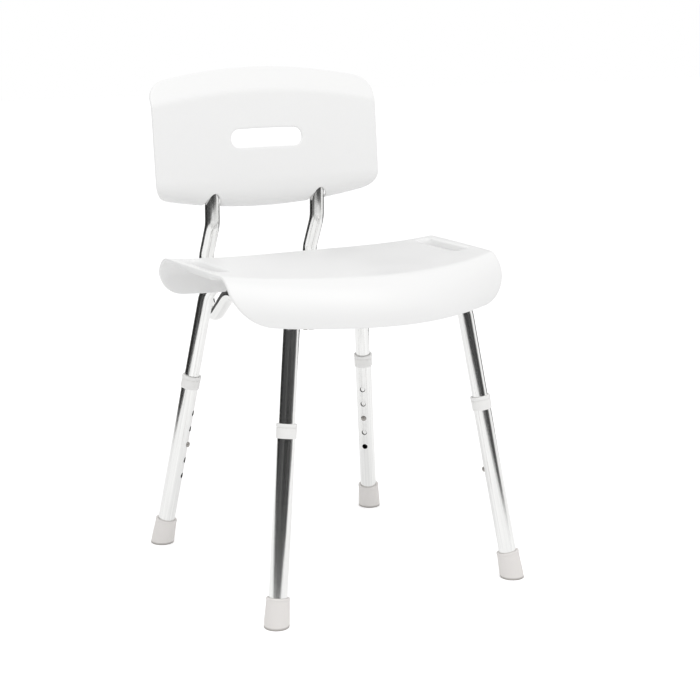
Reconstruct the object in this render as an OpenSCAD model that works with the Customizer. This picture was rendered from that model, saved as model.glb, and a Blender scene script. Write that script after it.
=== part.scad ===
// Shower seat with a backrest: a white plastic seat shell and back panel on a frame of
// polished aluminium tube. Two hoops of tube cross under the seat and end in the four
// splayed legs. Each lower leg slides on its hoop and locks with a spring button.
// Millimetres. The seat's front faces -Y, and +Z is up. The origin is on the floor under
// the middle of the whole object's box. Inside the modules the frame's own middle is used.

/* [Seat] */
// Width of the seat across its side edges
seat_w = 442; // [420:1:460]
// How far the front wall stands ahead of the frame's middle
seat_front = 205; // [196:1:216]
// How far the rear wall stands behind the frame's middle
seat_rear = 102; // [98:1:106]
// Height of the flat of the seat above the floor
seat_top_h = 450.5; // [449:0.5:456]
// Thickness of the seat's wall
seat_wall = 4; // [3:0.1:5]
// Radius of the fold at the rear edge
rear_roll_r = 30; // [26:1:34]
// Drop of the rear wall below the flat
rear_drop = 55; // [46:1:56]
// Radius of the fold at the front edge
front_roll_r = 54; // [48:1:58]
// How far the front fold turns past the level
front_roll_turn = 97; // [88:0.5:100]
// How far the side edges rise above the flat
side_rise = 6.5; // [2:0.5:9]
// How far the front wall falls back at the side edges
front_bow = 83; // [40:1:90]
// Distance ahead of the frame's middle where the bow begins
bow_start = 30; // [10:1:50]
// How much each side draws in towards the front
front_taper = 5.5; // [0:0.5:10]
// Radius of the corners at the front lower edge
front_corner_r = 49; // [40:1:70]
// Radius of the corners at the rear lower edge
rear_corner_r = 34; // [25:1:40]
// Length of each hand slot
hand_slot_len = 106; // [90:1:120]
// Width of each hand slot
hand_slot_w = 24; // [20:0.5:28]
// Strip left between a hand slot and the side edge
hand_slot_inset = 16; // [12:0.5:20]
// Place of the hand slots behind the frame's middle
hand_slot_y = 7; // [-5:1:15]
// Corner radius of the hand slots
hand_slot_r = 8; // [4:0.5:9.5]
// How far the wall moulded round each hand slot reaches below the seat's top
hand_slot_depth = 12; // [6:0.5:14]

/* [Backrest] */
// Width of the back panel
back_w = 374; // [350:1:390]
// Thickness of the back panel
back_wall = 4; // [3:0.1:5]
// Drop of the panel's hand slot below the top edge
back_slot_drop = 104; // [99:1:109]
// How far the panel's front face stands behind the frame's middle at the hand slot
back_y = 192.5; // [190:0.5:200]
// Lean of the panel from upright
back_lean = 6.3; // [4:0.1:8]
// How far the panel's ends come forward of its middle
back_curve = 8; // [4:0.5:12]
// Height of the panel's top edge at the middle
back_top_h = 709; // [700:1:720]
// How much lower the top edge is at the ends
back_top_fall = 21.4; // [15:0.1:22]
// Height of the upper band, from the crease to the top edge, at the middle
band_h = 33.5; // [29:0.5:39]
// How much lower the crease is at the ends
crease_fall = 18.7; // [14:0.1:22]
// Lean of the upper band from upright
band_lean = 27; // [15:0.5:32]
// Height of the panel at the middle
back_h = 208.5; // [203:0.5:213]
// How much higher the bottom edge is at the ends
back_bottom_rise = 21; // [15:0.5:22]
// Height of the lower lip, from the bottom edge to where it starts to curve back
lip_rise = 47.5; // [43.5:0.5:51.5]
// How far the lower lip reaches back
lip_depth = 29; // [24:0.5:32]
// Radius of the panel's upper corners
back_top_r = 25; // [18:0.5:26]
// Radius of the panel's lower corners
back_bottom_r = 41; // [22:0.5:42]
// Length of the panel's hand slot
back_slot_w = 119; // [100:1:130]
// Height of the panel's hand slot
back_slot_h = 27; // [22:0.5:32]

/* [Frame] */
// Outer diameter of the hoops and back tubes
tube_d = 22; // [21:0.1:23]
// Wall of the hoops and back tubes
tube_wall = 1.2; // [1:0.1:1.6]
// Distance between the front feet
front_feet_w = 382; // [376:1:388]
// Distance between the rear feet
rear_feet_w = 367; // [361:1:373]
// Distance from the front feet to the rear feet
feet_depth = 386; // [380:1:392]
// Lean of the legs from upright
leg_lean = 11.25; // [10.5:0.05:12]
// Drop of the lower hoop's level run below the flat of the seat
hoop_drop = 41.5; // [41:0.5:44.5]
// Clear height between the two hoops where they cross
hoop_gap = 1; // [0.5:0.5:2]
// Radius of the hoops' bends
hoop_bend_r = 40; // [36:1:46]
// Distance between the two back tubes
back_tubes_apart = 178; // [172:1:184]
// Drop of the rails, which the back tubes form under the seat, below the lower hoop
rail_drop = 24; // [23.5:0.5:27]
// How far the rails reach ahead of the frame's middle
rail_front = 104; // [104:1:112]
// Slope of the back tubes down to their U-bend
dip_slope = 41; // [38:0.5:44]
// Radius of the U-bend
u_bend_r = 25; // [24:0.5:27]
// Radius of the other bends of the back tubes
back_bend_r = 40; // [34:1:44]
// How far the outer upright stands behind the frame's middle
upright_y = 223; // [220:1:226]
// Drop of the U-bend's centre below the rails
u_bend_drop = 15; // [12:1:18]
// Drop of the bend at the foot of the step below the panel
step_low_drop = 72.5; // [68.5:1:76.5]
// Drop of the bend at the head of the step below the panel
step_high_drop = 22.5; // [16.5:1:28.5]
// Height above the panel's bottom edge where the upright starts to lean with it
lean_start_rise = 31.5; // [25.5:1:37.5]
// Drop of the back tubes' upper ends below the panel's top edge
back_tube_drop = 57; // [54:1:64]
// Gap between the panel's rear face and the back tubes
back_tube_gap = 2; // [1.5:0.1:3]

/* [Legs] */
// Outer diameter of the lower leg tubes
leg_d = 25; // [24.9:0.05:25.6]
// Running clearance of a hoop in its leg tube, on the radius
leg_clearance = 0.35; // [0.3:0.05:0.5]
// Distance between the height holes
hole_pitch = 25; // [23:0.5:26]
// Number of height holes on each side of the middle one
holes_each_side = 2; // [1:1:2]
// Distance of the spring button from the foot's ground point, along the leg
button_at = 162.5; // [158:0.5:166]
// Diameter of the height holes
hole_d = 8; // [7.8:0.1:9]
// Diameter of the spring button
button_d = 7.5; // [6.5:0.1:7.6]
// How far the spring button stands out of the leg tube
button_proud = 3; // [2:0.1:3.5]
// How far the spring button can be pressed in
button_travel = 4.5; // [4.2:0.1:5]
// Distance of a hoop's end below its button
hoop_end_drop = 38; // [34:1:42]
// Height of the collars
collar_h = 19.4; // [16:0.1:24]
// Distance of a collar's lower end from the ground point, along the leg
collar_at = 250.2; // [246:0.1:254]
// Outer diameter of the collars at their lower end
collar_d = 27.6; // [27.2:0.1:30]
// Outer diameter of the rim round a collar's top
collar_rim_d = 28.4; // [28:0.1:31]
// Height of that rim
collar_rim_h = 4.5; // [3:0.1:6]
// Height of the lip that covers the leg tube's end
collar_lip_h = 4.5; // [3:0.1:6]
// Height of the feet along the leg
foot_h = 39; // [34:1:44]
// Outer diameter of the feet at the floor
foot_d = 34; // [32:0.5:38]
// Outer diameter of the feet at the top
foot_top_d = 31.4; // [30:0.1:32]
// Thickness of the rubber under the leg tube
foot_sole = 9; // [8:0.5:12]

/* [Fasteners] */
// Diameter of the bolts through the frame
bolt_d = 6; // [5:0.5:6]
// Diameter of the frame bolts' heads
bolt_head_d = 12; // [10:0.5:12]
// Height of the frame bolts' heads
bolt_head_h = 2.8; // [2.5:0.1:3]
// Diameter of the spacers between the tubes
spacer_d = 16; // [14:0.5:18]
// Diameter of the screws into the plastic
screw_d = 4.2; // [3.5:0.1:4.5]
// Diameter of those screws' heads
screw_head_d = 8.6; // [7.5:0.1:9]
// Height of those screws' heads
screw_head_h = 2.8; // [2:0.1:3]
// Diameter of the screw bosses under the seat and behind the panel
boss_d = 14; // [12:0.5:15]
// Distance of the front seat screws from the front feet, along a hoop
front_screw_s = 125; // [124:0.5:126]
// Distance of the rear seat screws from the rear feet, along a hoop
rear_screw_s = 184; // [183:0.5:186]
// Drop of the lower back screws below the panel's hand slot
low_back_screw_drop = 33; // [29:1:37]
// Rise of the upper back screws above the panel's hand slot
high_back_screw_rise = 29; // [25:1:33]

/* [Hidden] */
$fn = 64;

seat_white = [0.95, 0.95, 0.94];
collar_white = [0.88, 0.88, 0.87];
rubber_grey = [0.84, 0.82, 0.80];
aluminium = [0.80, 0.81, 0.82];
steel = [0.62, 0.63, 0.65];

// fits between pieces that don't move
seat_fit = 0.15;
screw_fit = 0.05;
hole_fit = 0.25;
through = 1;

// the tubes
tube_r = tube_d / 2;
tube_in_r = tube_r - tube_wall;
leg_r = leg_d / 2;
leg_in_r = tube_r + leg_clearance;
lower_hoop_h = seat_top_h - hoop_drop;
upper_hoop_h = lower_hoop_h + tube_d + hoop_gap;
rail_h = lower_hoop_h - rail_drop;
u_bend_h = rail_h - u_bend_drop;

// heights on the back panel and the tubes that carry it
back_bottom_h = back_top_h - back_h;
lip_h = back_bottom_h + lip_rise;
back_mid_h = back_top_h - back_slot_drop;
crease_h = back_top_h - band_h;
step_low_h = back_bottom_h - step_low_drop;
step_high_h = back_bottom_h - step_high_drop;
lean_start_h = back_bottom_h + lean_start_rise;
back_tube_top_h = back_top_h - back_tube_drop;
low_back_screw_h = back_mid_h - low_back_screw_drop;
high_back_screw_h = back_mid_h + high_back_screw_rise;

// the hoops run from a front foot to the rear foot on the other side
hoop_dx = (front_feet_w + rear_feet_w) / 2;
hoop_len = norm([hoop_dx, feet_depth]);
hoop_dir = atan2(feet_depth, hoop_dx);
cross_s = hoop_len * front_feet_w / (front_feet_w + rear_feet_w);
hoop_end_at = button_at - hoop_end_drop;

// the whole object's middle, so that the origin lies under it
foot_reach = norm([foot_d / 2 / cos(leg_lean) * sin(hoop_dir), foot_d / 2 * cos(hoop_dir)]);
front_reach = max(feet_depth / 2 + foot_reach, seat_front);
rear_reach = max(feet_depth / 2 + foot_reach, upright_y + tube_r);
origin_shift = (front_reach - rear_reach) / 2;

module placed() {
  translate([0, origin_shift, 0]) children();
}

// ---- thin curved sheets ----
// A sheet is a grid of points on its outer face and the same grid on its inner face.

function grid_faces(rows, cols, start, turned) = [
  for (i = [0:rows - 2], j = [0:cols - 2])
    let (a = start + i * cols + j, b = a + 1, c = a + cols, d = c + 1)
    each turned ? [[a, b, d], [a, d, c]] : [[a, d, b], [a, c, d]]
];

function edge_faces(loop, depth, turned) = [
  for (k = [0:len(loop) - 1])
    let (a = loop[k], b = loop[(k + 1) % len(loop)], c = a + depth, d = b + depth)
    each turned ? [[a, c, d], [a, d, b]] : [[a, d, c], [a, b, d]]
];

function grid_rim(rows, cols) = concat(
  [for (j = [0:cols - 2]) j],
  [for (i = [0:rows - 2]) i * cols + cols - 1],
  [for (j = [0:cols - 2]) rows * cols - 1 - j],
  [for (i = [0:rows - 2]) (rows - 1 - i) * cols]
);

module sheet(outer, inner, rows, cols) {
  depth = rows * cols;
  polyhedron(
    points = concat(outer, inner),
    faces = concat(
      grid_faces(rows, cols, 0, false),
      grid_faces(rows, cols, depth, true),
      edge_faces(grid_rim(rows, cols), depth, false)
    )
  );
}

// drop of a corner of radius r at the distance d from the edge it rounds
function corner_inset(r, d) = d >= r ? 0 : r - sqrt(r * r - (r - d) * (r - d));
function smooth(t) = let (k = min(max(t, 0), 1)) k * k * (3 - 2 * k);

// ---- the seat's surface ----
// Its profile runs from the rear wall's lower edge up, over the top and down the front.
// Each station is [y, z, outward y, outward z, distance from the rear edge].

rear_wall_h = rear_drop - rear_roll_r;
rear_crest_y = seat_rear - rear_roll_r;
front_crest_y = front_roll_r - seat_front;
rear_roll_len = rear_roll_r * PI / 2;
flat_len = rear_crest_y - front_crest_y;
front_roll_len = front_roll_r * front_roll_turn * PI / 180;
profile_len = rear_wall_h + rear_roll_len + flat_len + front_roll_len;

wall_steps = 4;
rear_steps = 8;
flat_steps = 9;
front_steps = 13;
seat_cols = 27;
// share by which the columns crowd towards the side edges
edge_crowding = 0.35;

seat_stations = concat(
  [for (k = [0:wall_steps - 1]) let (h = rear_wall_h * pow(k / wall_steps, 1.5))
    [seat_rear, seat_top_h - rear_drop + h, 1, 0, h]],
  [for (k = [0:rear_steps]) let (a = 90 * k / rear_steps)
    [rear_crest_y + rear_roll_r * cos(a), seat_top_h - rear_roll_r + rear_roll_r * sin(a),
      cos(a), sin(a), rear_wall_h + rear_roll_len * k / rear_steps]],
  [for (k = [1:flat_steps]) let (t = k / flat_steps)
    [rear_crest_y - flat_len * t, seat_top_h, 0, 1, rear_wall_h + rear_roll_len + flat_len * t]],
  [for (k = [1:front_steps]) let (t = sin(90 * k / front_steps), a = 90 + front_roll_turn * t)
    [front_crest_y + front_roll_r * cos(a), seat_top_h - front_roll_r + front_roll_r * sin(a),
      cos(a), sin(a), profile_len - front_roll_len * (1 - t)]]
);

// the front wall's bow in plan: 0 at the middle, 1 at the side edges
bow_ease = 0.5;
function bowed(e) = (norm([e, bow_ease]) - bow_ease) / (norm([1, bow_ease]) - bow_ease);

function seat_half_w(s) = seat_w / 2
  - corner_inset(rear_corner_r, s[4])
  - corner_inset(front_corner_r, profile_len - s[4]);

function seat_point(s, u, depth) =
  let (
    y = s[0] - s[2] * depth,
    z = s[1] - s[3] * depth,
    drawn_in = front_taper * min(max((bow_start - s[0]) / (bow_start + seat_front), 0), 1),
    x = u * (seat_half_w(s) - drawn_in),
    e = x / (seat_w / 2),
    bow = front_bow * bowed(e) * smooth((-bow_start - s[0]) / (seat_front - bow_start))
  ) [x, y + bow, z + side_rise * pow(e, 4)];

function crowded(t) = (1 - edge_crowding) * t + edge_crowding * sin(90 * t);

function seat_face(depth) = [
  for (s = seat_stations, j = [0:seat_cols - 1]) seat_point(s, crowded(1 - 2 * j / (seat_cols - 1)), depth)
];

// a point on the level run of a hoop, s from its front foot; side -1 starts at the left
function hoop_point(side, s) = [
  side * (front_feet_w / 2 - s * cos(hoop_dir)),
  s * sin(hoop_dir) - feet_depth / 2
];
function hoop_h(side) = side < 0 ? upper_hoop_h : lower_hoop_h;
function hoop_turn(side) = side < 0 ? hoop_dir : 180 - hoop_dir;

// the distances of the seat screws along a hoop
screw_stations = [front_screw_s, hoop_len - rear_screw_s];
// height above a tube's axis at which a plug of radius r meets the tube
function saddle(r) = sqrt(tube_r * tube_r - r * r);

boss_skin = 2.5;
boss_r = boss_d / 2;
notch_clear = 3.5;

module along_hoop(side, s) {
  translate(concat(hoop_point(side, s), hoop_h(side))) rotate([0, 0, hoop_turn(side)]) children();
}

// a level stretch of solid round bar along a hoop
module hoop_bar(r, half_len) {
  rotate([0, 90, 0]) cylinder(r = r, h = 2 * half_len, center = true);
}

module rounded_slot(w, d, h, r) {
  cube([w - 2 * r, d, h], center = true);
  cube([w, d - 2 * r, h], center = true);
  for (x = [-1, 1], y = [-1, 1])
    translate([x * (w / 2 - r), y * (d / 2 - r), 0]) cylinder(r = r, h = h, center = true);
}

slot_x = seat_w / 2 - hand_slot_inset - hand_slot_w / 2;

module at_hand_slots() {
  for (side = [-1, 1]) translate([side * slot_x, hand_slot_y, seat_top_h]) children();
}

module seat_hand_slots() {
  slot_deep = 2 * (hand_slot_depth + 4 * seat_wall);
  at_hand_slots() rounded_slot(hand_slot_w, hand_slot_len, slot_deep, hand_slot_r);
}

// the wall round each hand slot, which starts inside the sheet's thickness
module slot_walls() {
  inner_x = slot_x - hand_slot_w / 2 - seat_wall;
  wall_top = side_rise * pow(inner_x / (seat_w / 2), 4) - seat_wall / 8;
  wall_h = hand_slot_depth + wall_top;
  at_hand_slots() translate([0, 0, wall_top - wall_h / 2])
    rounded_slot(hand_slot_w + 2 * seat_wall, hand_slot_len + 2 * seat_wall, wall_h, hand_slot_r + seat_wall);
}

// arches in the rear wall that the hoops pass through on their way to the rear legs
module seat_arches() {
  arch_r = tube_r + notch_clear;
  arch_h = upper_hoop_h;
  arch_overcut = 10;
  arch_drop = rear_drop + arch_overcut;
  wall_s = hoop_len - (feet_depth / 2 - seat_rear) / sin(hoop_dir);
  arch_len = 56;
  for (side = [-1, 1])
    translate(concat(hoop_point(side, wall_s), arch_h)) rotate([0, 0, hoop_turn(side)]) {
      rotate([0, 90, 0]) cylinder(r = arch_r, h = arch_len, center = true);
      translate([-arch_len / 2, -arch_r, -arch_drop]) cube([arch_len, 2 * arch_r, arch_drop]);
    }
}

module seat_bosses() {
  for (side = [-1, 1], s = screw_stations)
    difference() {
      boss_bottom = hoop_h(side) + saddle(boss_r);
      translate(concat(hoop_point(side, s), boss_bottom))
        cylinder(r = boss_r, h = seat_top_h - seat_wall / 2 - boss_bottom);
      along_hoop(side, s) hoop_bar(tube_r + seat_fit, boss_d);
    }
}

module seat_pilots() {
  for (side = [-1, 1], s = screw_stations)
    translate(concat(hoop_point(side, s), hoop_h(side)))
      cylinder(d = screw_d + 2 * screw_fit, h = seat_top_h - boss_skin - upper_hoop_h);
}

module seat_shell() {
  color(seat_white) placed() difference() {
    union() {
      sheet(seat_face(0), seat_face(seat_wall), len(seat_stations), seat_cols);
      seat_bosses();
      slot_walls();
    }
    seat_hand_slots();
    seat_arches();
    seat_pilots();
  }
}

// ---- the back panel's surface ----
// Rows run from the bottom edge to the top. Zone 0 is the lip, 1 the face, 2 the band.

lip_steps = 7;
face_steps = 4;
band_steps = 7;
back_cols = 21;
lip_edge_turn = 6;
// the curved lip's length as a share of its height and depth added up
lip_len_share = 0.75;

back_rows = concat(
  [for (k = [0:lip_steps]) [0, lip_edge_turn + (90 - lip_edge_turn) * k / lip_steps]],
  [for (k = [1:face_steps]) [1, k / face_steps]],
  [for (k = [1:band_steps]) [2, sin(90 * k / band_steps)]]
);

function back_lip_h(e) = lip_h - back_bottom_h - back_bottom_rise * e * e;
function back_crease(e) = crease_h - crease_fall * e * e;
function back_band_h(e) = back_top_h - back_top_fall * e * e - back_crease(e);
function back_face_y(e, z) = back_y - back_curve * e * e + (z - back_mid_h) * tan(back_lean);

function back_half_w(row) = back_w / 2 - (
  row[0] == 0 ? corner_inset(back_bottom_r, lip_len_share * (back_lip_h(1) + lip_depth) * row[1] / 90) :
  row[0] == 2 ? corner_inset(back_top_r, back_band_h(1) * (1 - row[1]) / cos(band_lean)) : 0
);

// [y, z, lean] of the front face
function back_section(row, e) =
  row[0] == 0 ? let (a = row[1], h = back_lip_h(e), z = lip_h - h * cos(a)) [
    back_face_y(e, z) + lip_depth * (1 - sin(a)), z,
    back_lean + atan2(-lip_depth * cos(a), h * sin(a))
  ] :
  row[0] == 1 ? let (z = lip_h + (back_crease(e) - lip_h) * row[1]) [
    back_face_y(e, z), z, row[1] == 1 ? (back_lean + band_lean) / 2 : back_lean
  ] :
  let (h = back_band_h(e) * row[1]) [
    back_face_y(e, back_crease(e)) + h * tan(band_lean), back_crease(e) + h, band_lean
  ];

function back_point(row, u, depth) =
  let (x = u * back_half_w(row), s = back_section(row, x / (back_w / 2)))
  [x, s[0] + depth * cos(s[2]), s[1] - depth * sin(s[2])];

function back_grid(depth) = [
  for (row = back_rows, j = [0:back_cols - 1])
    back_point(row, 2 * j / (back_cols - 1) - 1, depth)
];

// the back tubes stand behind the panel, and lean with it
tube_x = back_tubes_apart / 2;
tube_e = tube_x / (back_w / 2);
function leaning_tube_y(z) = back_face_y(tube_e, z) + (back_wall + back_tube_gap + tube_r) / cos(back_lean);
step_y = leaning_tube_y(lean_start_h);
lip_hole_clear = 2.5;

module at_back_tubes(z) {
  for (side = [-1, 1])
    translate([side * tube_x, leaning_tube_y(z), z]) rotate([-back_lean, 0, 0]) children();
}

module back_bosses() {
  boss_len = back_wall / 2 + back_tube_gap + tube_r - saddle(boss_r);
  for (z = [low_back_screw_h, high_back_screw_h])
    at_back_tubes(z) difference() {
      translate([0, -saddle(boss_r), 0]) rotate([90, 0, 0]) cylinder(r = boss_r, h = boss_len);
      cylinder(r = tube_r + seat_fit, h = 2 * boss_d, center = true);
    }
}

module back_pilots() {
  for (z = [low_back_screw_h, high_back_screw_h])
    at_back_tubes(z) rotate([90, 0, 0])
      cylinder(d = screw_d + 2 * screw_fit, h = tube_r + back_tube_gap + back_wall / 2);
}

module back_slot() {
  slot_r = back_slot_h / 2;
  cut = 60;
  translate([0, back_y, back_mid_h]) rotate([90, 0, 0])
    rounded_slot(back_slot_w, back_slot_h, cut, slot_r - 0.01);
}

// openings in the lip that the back tubes come up through, open to the rear
lip_overcut = 10;
lip_hole_drop = 6;

module lip_openings() {
  hole_r = tube_r + lip_hole_clear;
  low = back_bottom_h - lip_overcut;
  high = lip_h - lip_hole_drop;
  for (side = [-1, 1]) translate([side * tube_x, step_y, low]) {
    cylinder(r = hole_r, h = high - low);
    translate([-hole_r, 0, 0]) cube([2 * hole_r, lip_depth + back_wall, high - low]);
  }
}

module back_panel() {
  color(seat_white) placed() difference() {
    union() {
      sheet(back_grid(0), back_grid(back_wall), len(back_rows), back_cols);
      back_bosses();
    }
    back_slot();
    lip_openings();
    back_pilots();
  }
}

// ---- bent tubes ----
// A tube follows corner points in its own plane, with one bend radius for each corner.

function heading(p, q) = atan2(q[1] - p[1], q[0] - p[0]);
function turn_at(pts, k) =
  let (t = heading(pts[k], pts[k + 1]) - heading(pts[k - 1], pts[k])) t - 360 * round(t / 360);
function tangent_len(pts, radii, k) =
  k == 0 || k == len(pts) - 1 ? 0 : radii[k - 1] * tan(abs(turn_at(pts, k)) / 2);

// the bends are a hair slimmer than the straights and reach a little way into them
bend_slim = 0.05;
bend_lap = 0.8;

module bent_rod(pts, radii, r, extra) {
  last = len(pts) - 2;
  for (k = [0:last]) {
    a = heading(pts[k], pts[k + 1]);
    start = k == 0 ? -extra : tangent_len(pts, radii, k);
    stop = norm(pts[k + 1] - pts[k]) + (k == last ? extra : -tangent_len(pts, radii, k + 1));
    translate(pts[k] + start * [cos(a), sin(a)]) rotate([0, 90, a]) cylinder(r = r, h = stop - start);
  }
  for (k = [1:last]) {
    a = heading(pts[k - 1], pts[k]);
    turn = turn_at(pts, k);
    way = sign(turn);
    bend_r = radii[k - 1];
    lap = bend_lap / bend_r * 180 / PI;
    begin = pts[k] - tangent_len(pts, radii, k) * [cos(a), sin(a)];
    centre = begin + bend_r * way * [-sin(a), cos(a)];
    translate(centre) rotate([0, 0, (way > 0 ? a - 90 : a + turn + 90) - lap])
      rotate_extrude(angle = abs(turn) + 2 * lap) translate([bend_r, 0]) circle(r = r - bend_slim);
  }
}

module bent_tube(pts, radii, r, wall) {
  difference() {
    bent_rod(pts, radii, r, 0);
    bent_rod(pts, radii, r - wall, through);
  }
}

// ---- hoops ----

function hoop_path(h) = [
  hoop_end_at * [sin(leg_lean), cos(leg_lean)],
  [h * tan(leg_lean), h],
  [hoop_len - h * tan(leg_lean), h],
  [hoop_len - hoop_end_at * sin(leg_lean), hoop_end_at * cos(leg_lean)]
];

// a leg's own frame: origin at its ground point, +Z up along the leg, +X towards the middle
module at_leg(front, left) {
  x = (left ? -1 : 1) * (front ? front_feet_w : rear_feet_w) / 2;
  y = (front ? -1 : 1) * feet_depth / 2;
  turn = (left ? 0 : 180) + (front == left ? 1 : -1) * hoop_dir;
  placed() translate([x, y, 0]) rotate([0, 0, turn]) rotate([0, leg_lean, 0]) children();
}

// the distances along the hoops of the points over the rails
front_rail_s = (front_feet_w / 2 - tube_x) / cos(hoop_dir);
rear_rail_s = hoop_len - (rear_feet_w / 2 - tube_x) / cos(hoop_dir);

rivet_r = bolt_d / 2 + 1.4;
rivet_bulge_r = rivet_r + 1;
rivet_h = 11;
bolt_hole_r = bolt_d / 2 + hole_fit;

module down_hoop(side, s, r) {
  along_hoop(side, s) translate([0, 0, -tube_d]) cylinder(r = r, h = tube_d);
}

module through_hoop(side, s, r) {
  along_hoop(side, s) cylinder(r = r, h = 2 * tube_d, center = true);
}

module button_hole(r_in) {
  translate([0, 0, button_at]) rotate([0, 90, 0]) cylinder(d = hole_d, h = r_in + through);
}

module hoop(side) {
  color(aluminium) difference() {
    placed() translate(concat(hoop_point(side, 0), 0)) rotate([90, 0, hoop_turn(side)])
      bent_tube(hoop_path(hoop_h(side)), [hoop_bend_r, hoop_bend_r], tube_r, tube_wall);
    at_leg(true, side < 0) button_hole(tube_r);
    at_leg(false, side > 0) button_hole(tube_r);
    placed() {
      through_hoop(side, cross_s, bolt_hole_r);
      for (s = screw_stations) through_hoop(side, s, screw_d / 2 + hole_fit);
      for (s = [front_rail_s, rear_rail_s]) down_hoop(side, s, rivet_r + screw_fit);
    }
  }
}

module hoop_front_left() {
  hoop(-1);
}

module hoop_front_right() {
  hoop(1);
}

// ---- back tubes ----
// Each runs as a rail under the seat, dips behind it in a U-bend and rises to the panel.

u_corner_drop = u_bend_r * tan((90 + dip_slope) / 2);
dip_corner_y = upright_y - (rail_h - u_bend_h + u_corner_drop) / tan(dip_slope);
back_tube_path = [
  [-rail_front, rail_h],
  [dip_corner_y, rail_h],
  [upright_y, u_bend_h - u_corner_drop],
  [upright_y, step_low_h],
  [step_y, step_high_h],
  [step_y, lean_start_h],
  [leaning_tube_y(back_tube_top_h), back_tube_top_h]
];
lean_bend_r = 60;
back_tube_radii = [back_bend_r, u_bend_r, back_bend_r, back_bend_r, lean_bend_r];

rail_ys = [hoop_point(-1, front_rail_s)[1], hoop_point(-1, rear_rail_s)[1]];

module back_tube(side) {
  color(aluminium) placed() difference() {
    translate([side * tube_x, 0, 0]) rotate([90, 0, 90])
      bent_tube(back_tube_path, back_tube_radii, tube_r, tube_wall);
    for (y = rail_ys) translate([side * tube_x, y, rail_h])
      cylinder(r = bolt_hole_r, h = 2 * tube_d, center = true);
    for (z = [low_back_screw_h, high_back_screw_h]) at_back_tubes(z) rotate([90, 0, 0])
      cylinder(d = screw_d + 2 * hole_fit, h = 2 * tube_d, center = true);
  }
}

module back_tube_left() {
  back_tube(-1);
}

module back_tube_right() {
  back_tube(1);
}

// a domed plastic plug; its origin is the tube's end, +Z out of the tube
plug_cap_h = 2;
plug_dome_h = 1.6;
plug_depth = 8;

module tube_plug() {
  dome_r = (tube_r * tube_r + plug_dome_h * plug_dome_h) / (2 * plug_dome_h);
  color(collar_white) {
    translate([0, 0, -plug_depth]) cylinder(r = tube_in_r - seat_fit, h = plug_depth);
    cylinder(r = tube_r, h = plug_cap_h);
    translate([0, 0, plug_cap_h]) intersection() {
      translate([0, 0, plug_dome_h - dome_r]) sphere(r = dome_r);
      cylinder(r = tube_r, h = plug_dome_h);
    }
  }
}

module top_plug(side) {
  placed() translate([side * tube_x, leaning_tube_y(back_tube_top_h), back_tube_top_h])
    rotate([-back_lean, 0, 0]) tube_plug();
}

module rail_plug(side) {
  placed() translate([side * tube_x, -rail_front, rail_h]) rotate([90, 0, 0]) tube_plug();
}

module top_plug_left() {
  top_plug(-1);
}

module top_plug_right() {
  top_plug(1);
}

module rail_plug_left() {
  rail_plug(-1);
}

module rail_plug_right() {
  rail_plug(1);
}

// ---- fasteners of the frame ----

// a round-headed bolt; its origin is under the head, +Z along the shank
socket_share = 0.55;
socket_depth_share = 0.6;

module bolt(len, d, head_d, head_h) {
  ball_r = (head_d * head_d / 4 + head_h * head_h) / (2 * head_h);
  socket = d * socket_share;
  color(steel) difference() {
    union() {
      cylinder(d = d, h = len);
      intersection() {
        translate([0, 0, ball_r - head_h]) sphere(r = ball_r);
        translate([0, 0, -head_h]) cylinder(d = head_d, h = head_h);
      }
    }
    translate([0, 0, -head_h - through])
      cylinder(d = socket, h = head_h * socket_depth_share + through, $fn = 6);
  }
}

washer_gap = 0.05;
screw_end_gap = 0.5;
nut_h = 5;
nut_w = 10;

module cross_spacer() {
  pad_r = spacer_d / 2;
  color(collar_white) placed() difference() {
    translate(concat(hoop_point(1, cross_s), lower_hoop_h + saddle(pad_r)))
      cylinder(r = pad_r, h = upper_hoop_h - lower_hoop_h - 2 * saddle(pad_r));
    for (side = [-1, 1]) along_hoop(side, cross_s) hoop_bar(tube_r + seat_fit, spacer_d);
    through_hoop(1, cross_s, bolt_hole_r);
  }
}

cross_bolt_len = upper_hoop_h - lower_hoop_h + tube_d + nut_h + 2;

module cross_bolt() {
  placed() translate(concat(hoop_point(1, cross_s), upper_hoop_h + tube_r + washer_gap)) rotate([180, 0, 0])
    bolt(cross_bolt_len, bolt_d, bolt_head_d, bolt_head_h);
}

module cross_nut() {
  color(steel) placed() translate(concat(hoop_point(1, cross_s), lower_hoop_h - tube_r - nut_h - washer_gap))
    difference() {
      cylinder(d = nut_w / cos(30), h = nut_h, $fn = 6);
      translate([0, 0, -through]) cylinder(d = bolt_d + 2 * screw_fit, h = nut_h + 2 * through);
    }
}

// each rail is bolted to both hoops; the end of a hoop over it sets the spacer's length
module at_rail_bolts(side) {
  for (s = [front_rail_s, rear_rail_s]) along_hoop(side, s) children();
}

module rail_spacers(side) {
  pad_r = spacer_d / 2;
  gap = hoop_h(side) - rail_h;
  color(collar_white) placed() at_rail_bolts(side) difference() {
    translate([0, 0, saddle(pad_r) - gap]) cylinder(r = pad_r, h = gap - 2 * saddle(pad_r));
    hoop_bar(tube_r + seat_fit, spacer_d);
    translate([0, 0, -gap]) rotate([0, 0, -hoop_turn(side)]) rotate([90, 0, 0])
      cylinder(r = tube_r + seat_fit, h = 2 * spacer_d, center = true);
    translate([0, 0, -gap]) cylinder(r = bolt_hole_r, h = gap);
  }
}

module rail_bolts(side) {
  gap = hoop_h(side) - rail_h;
  placed() at_rail_bolts(side) translate([0, 0, -gap - tube_r - washer_gap])
    bolt(gap + rivet_h, bolt_d, bolt_head_d, bolt_head_h);
}

module rail_spacers_short() {
  rail_spacers(1);
}

module rail_spacers_long() {
  rail_spacers(-1);
}

module rail_bolts_short() {
  rail_bolts(1);
}

module rail_bolts_long() {
  rail_bolts(-1);
}

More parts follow.
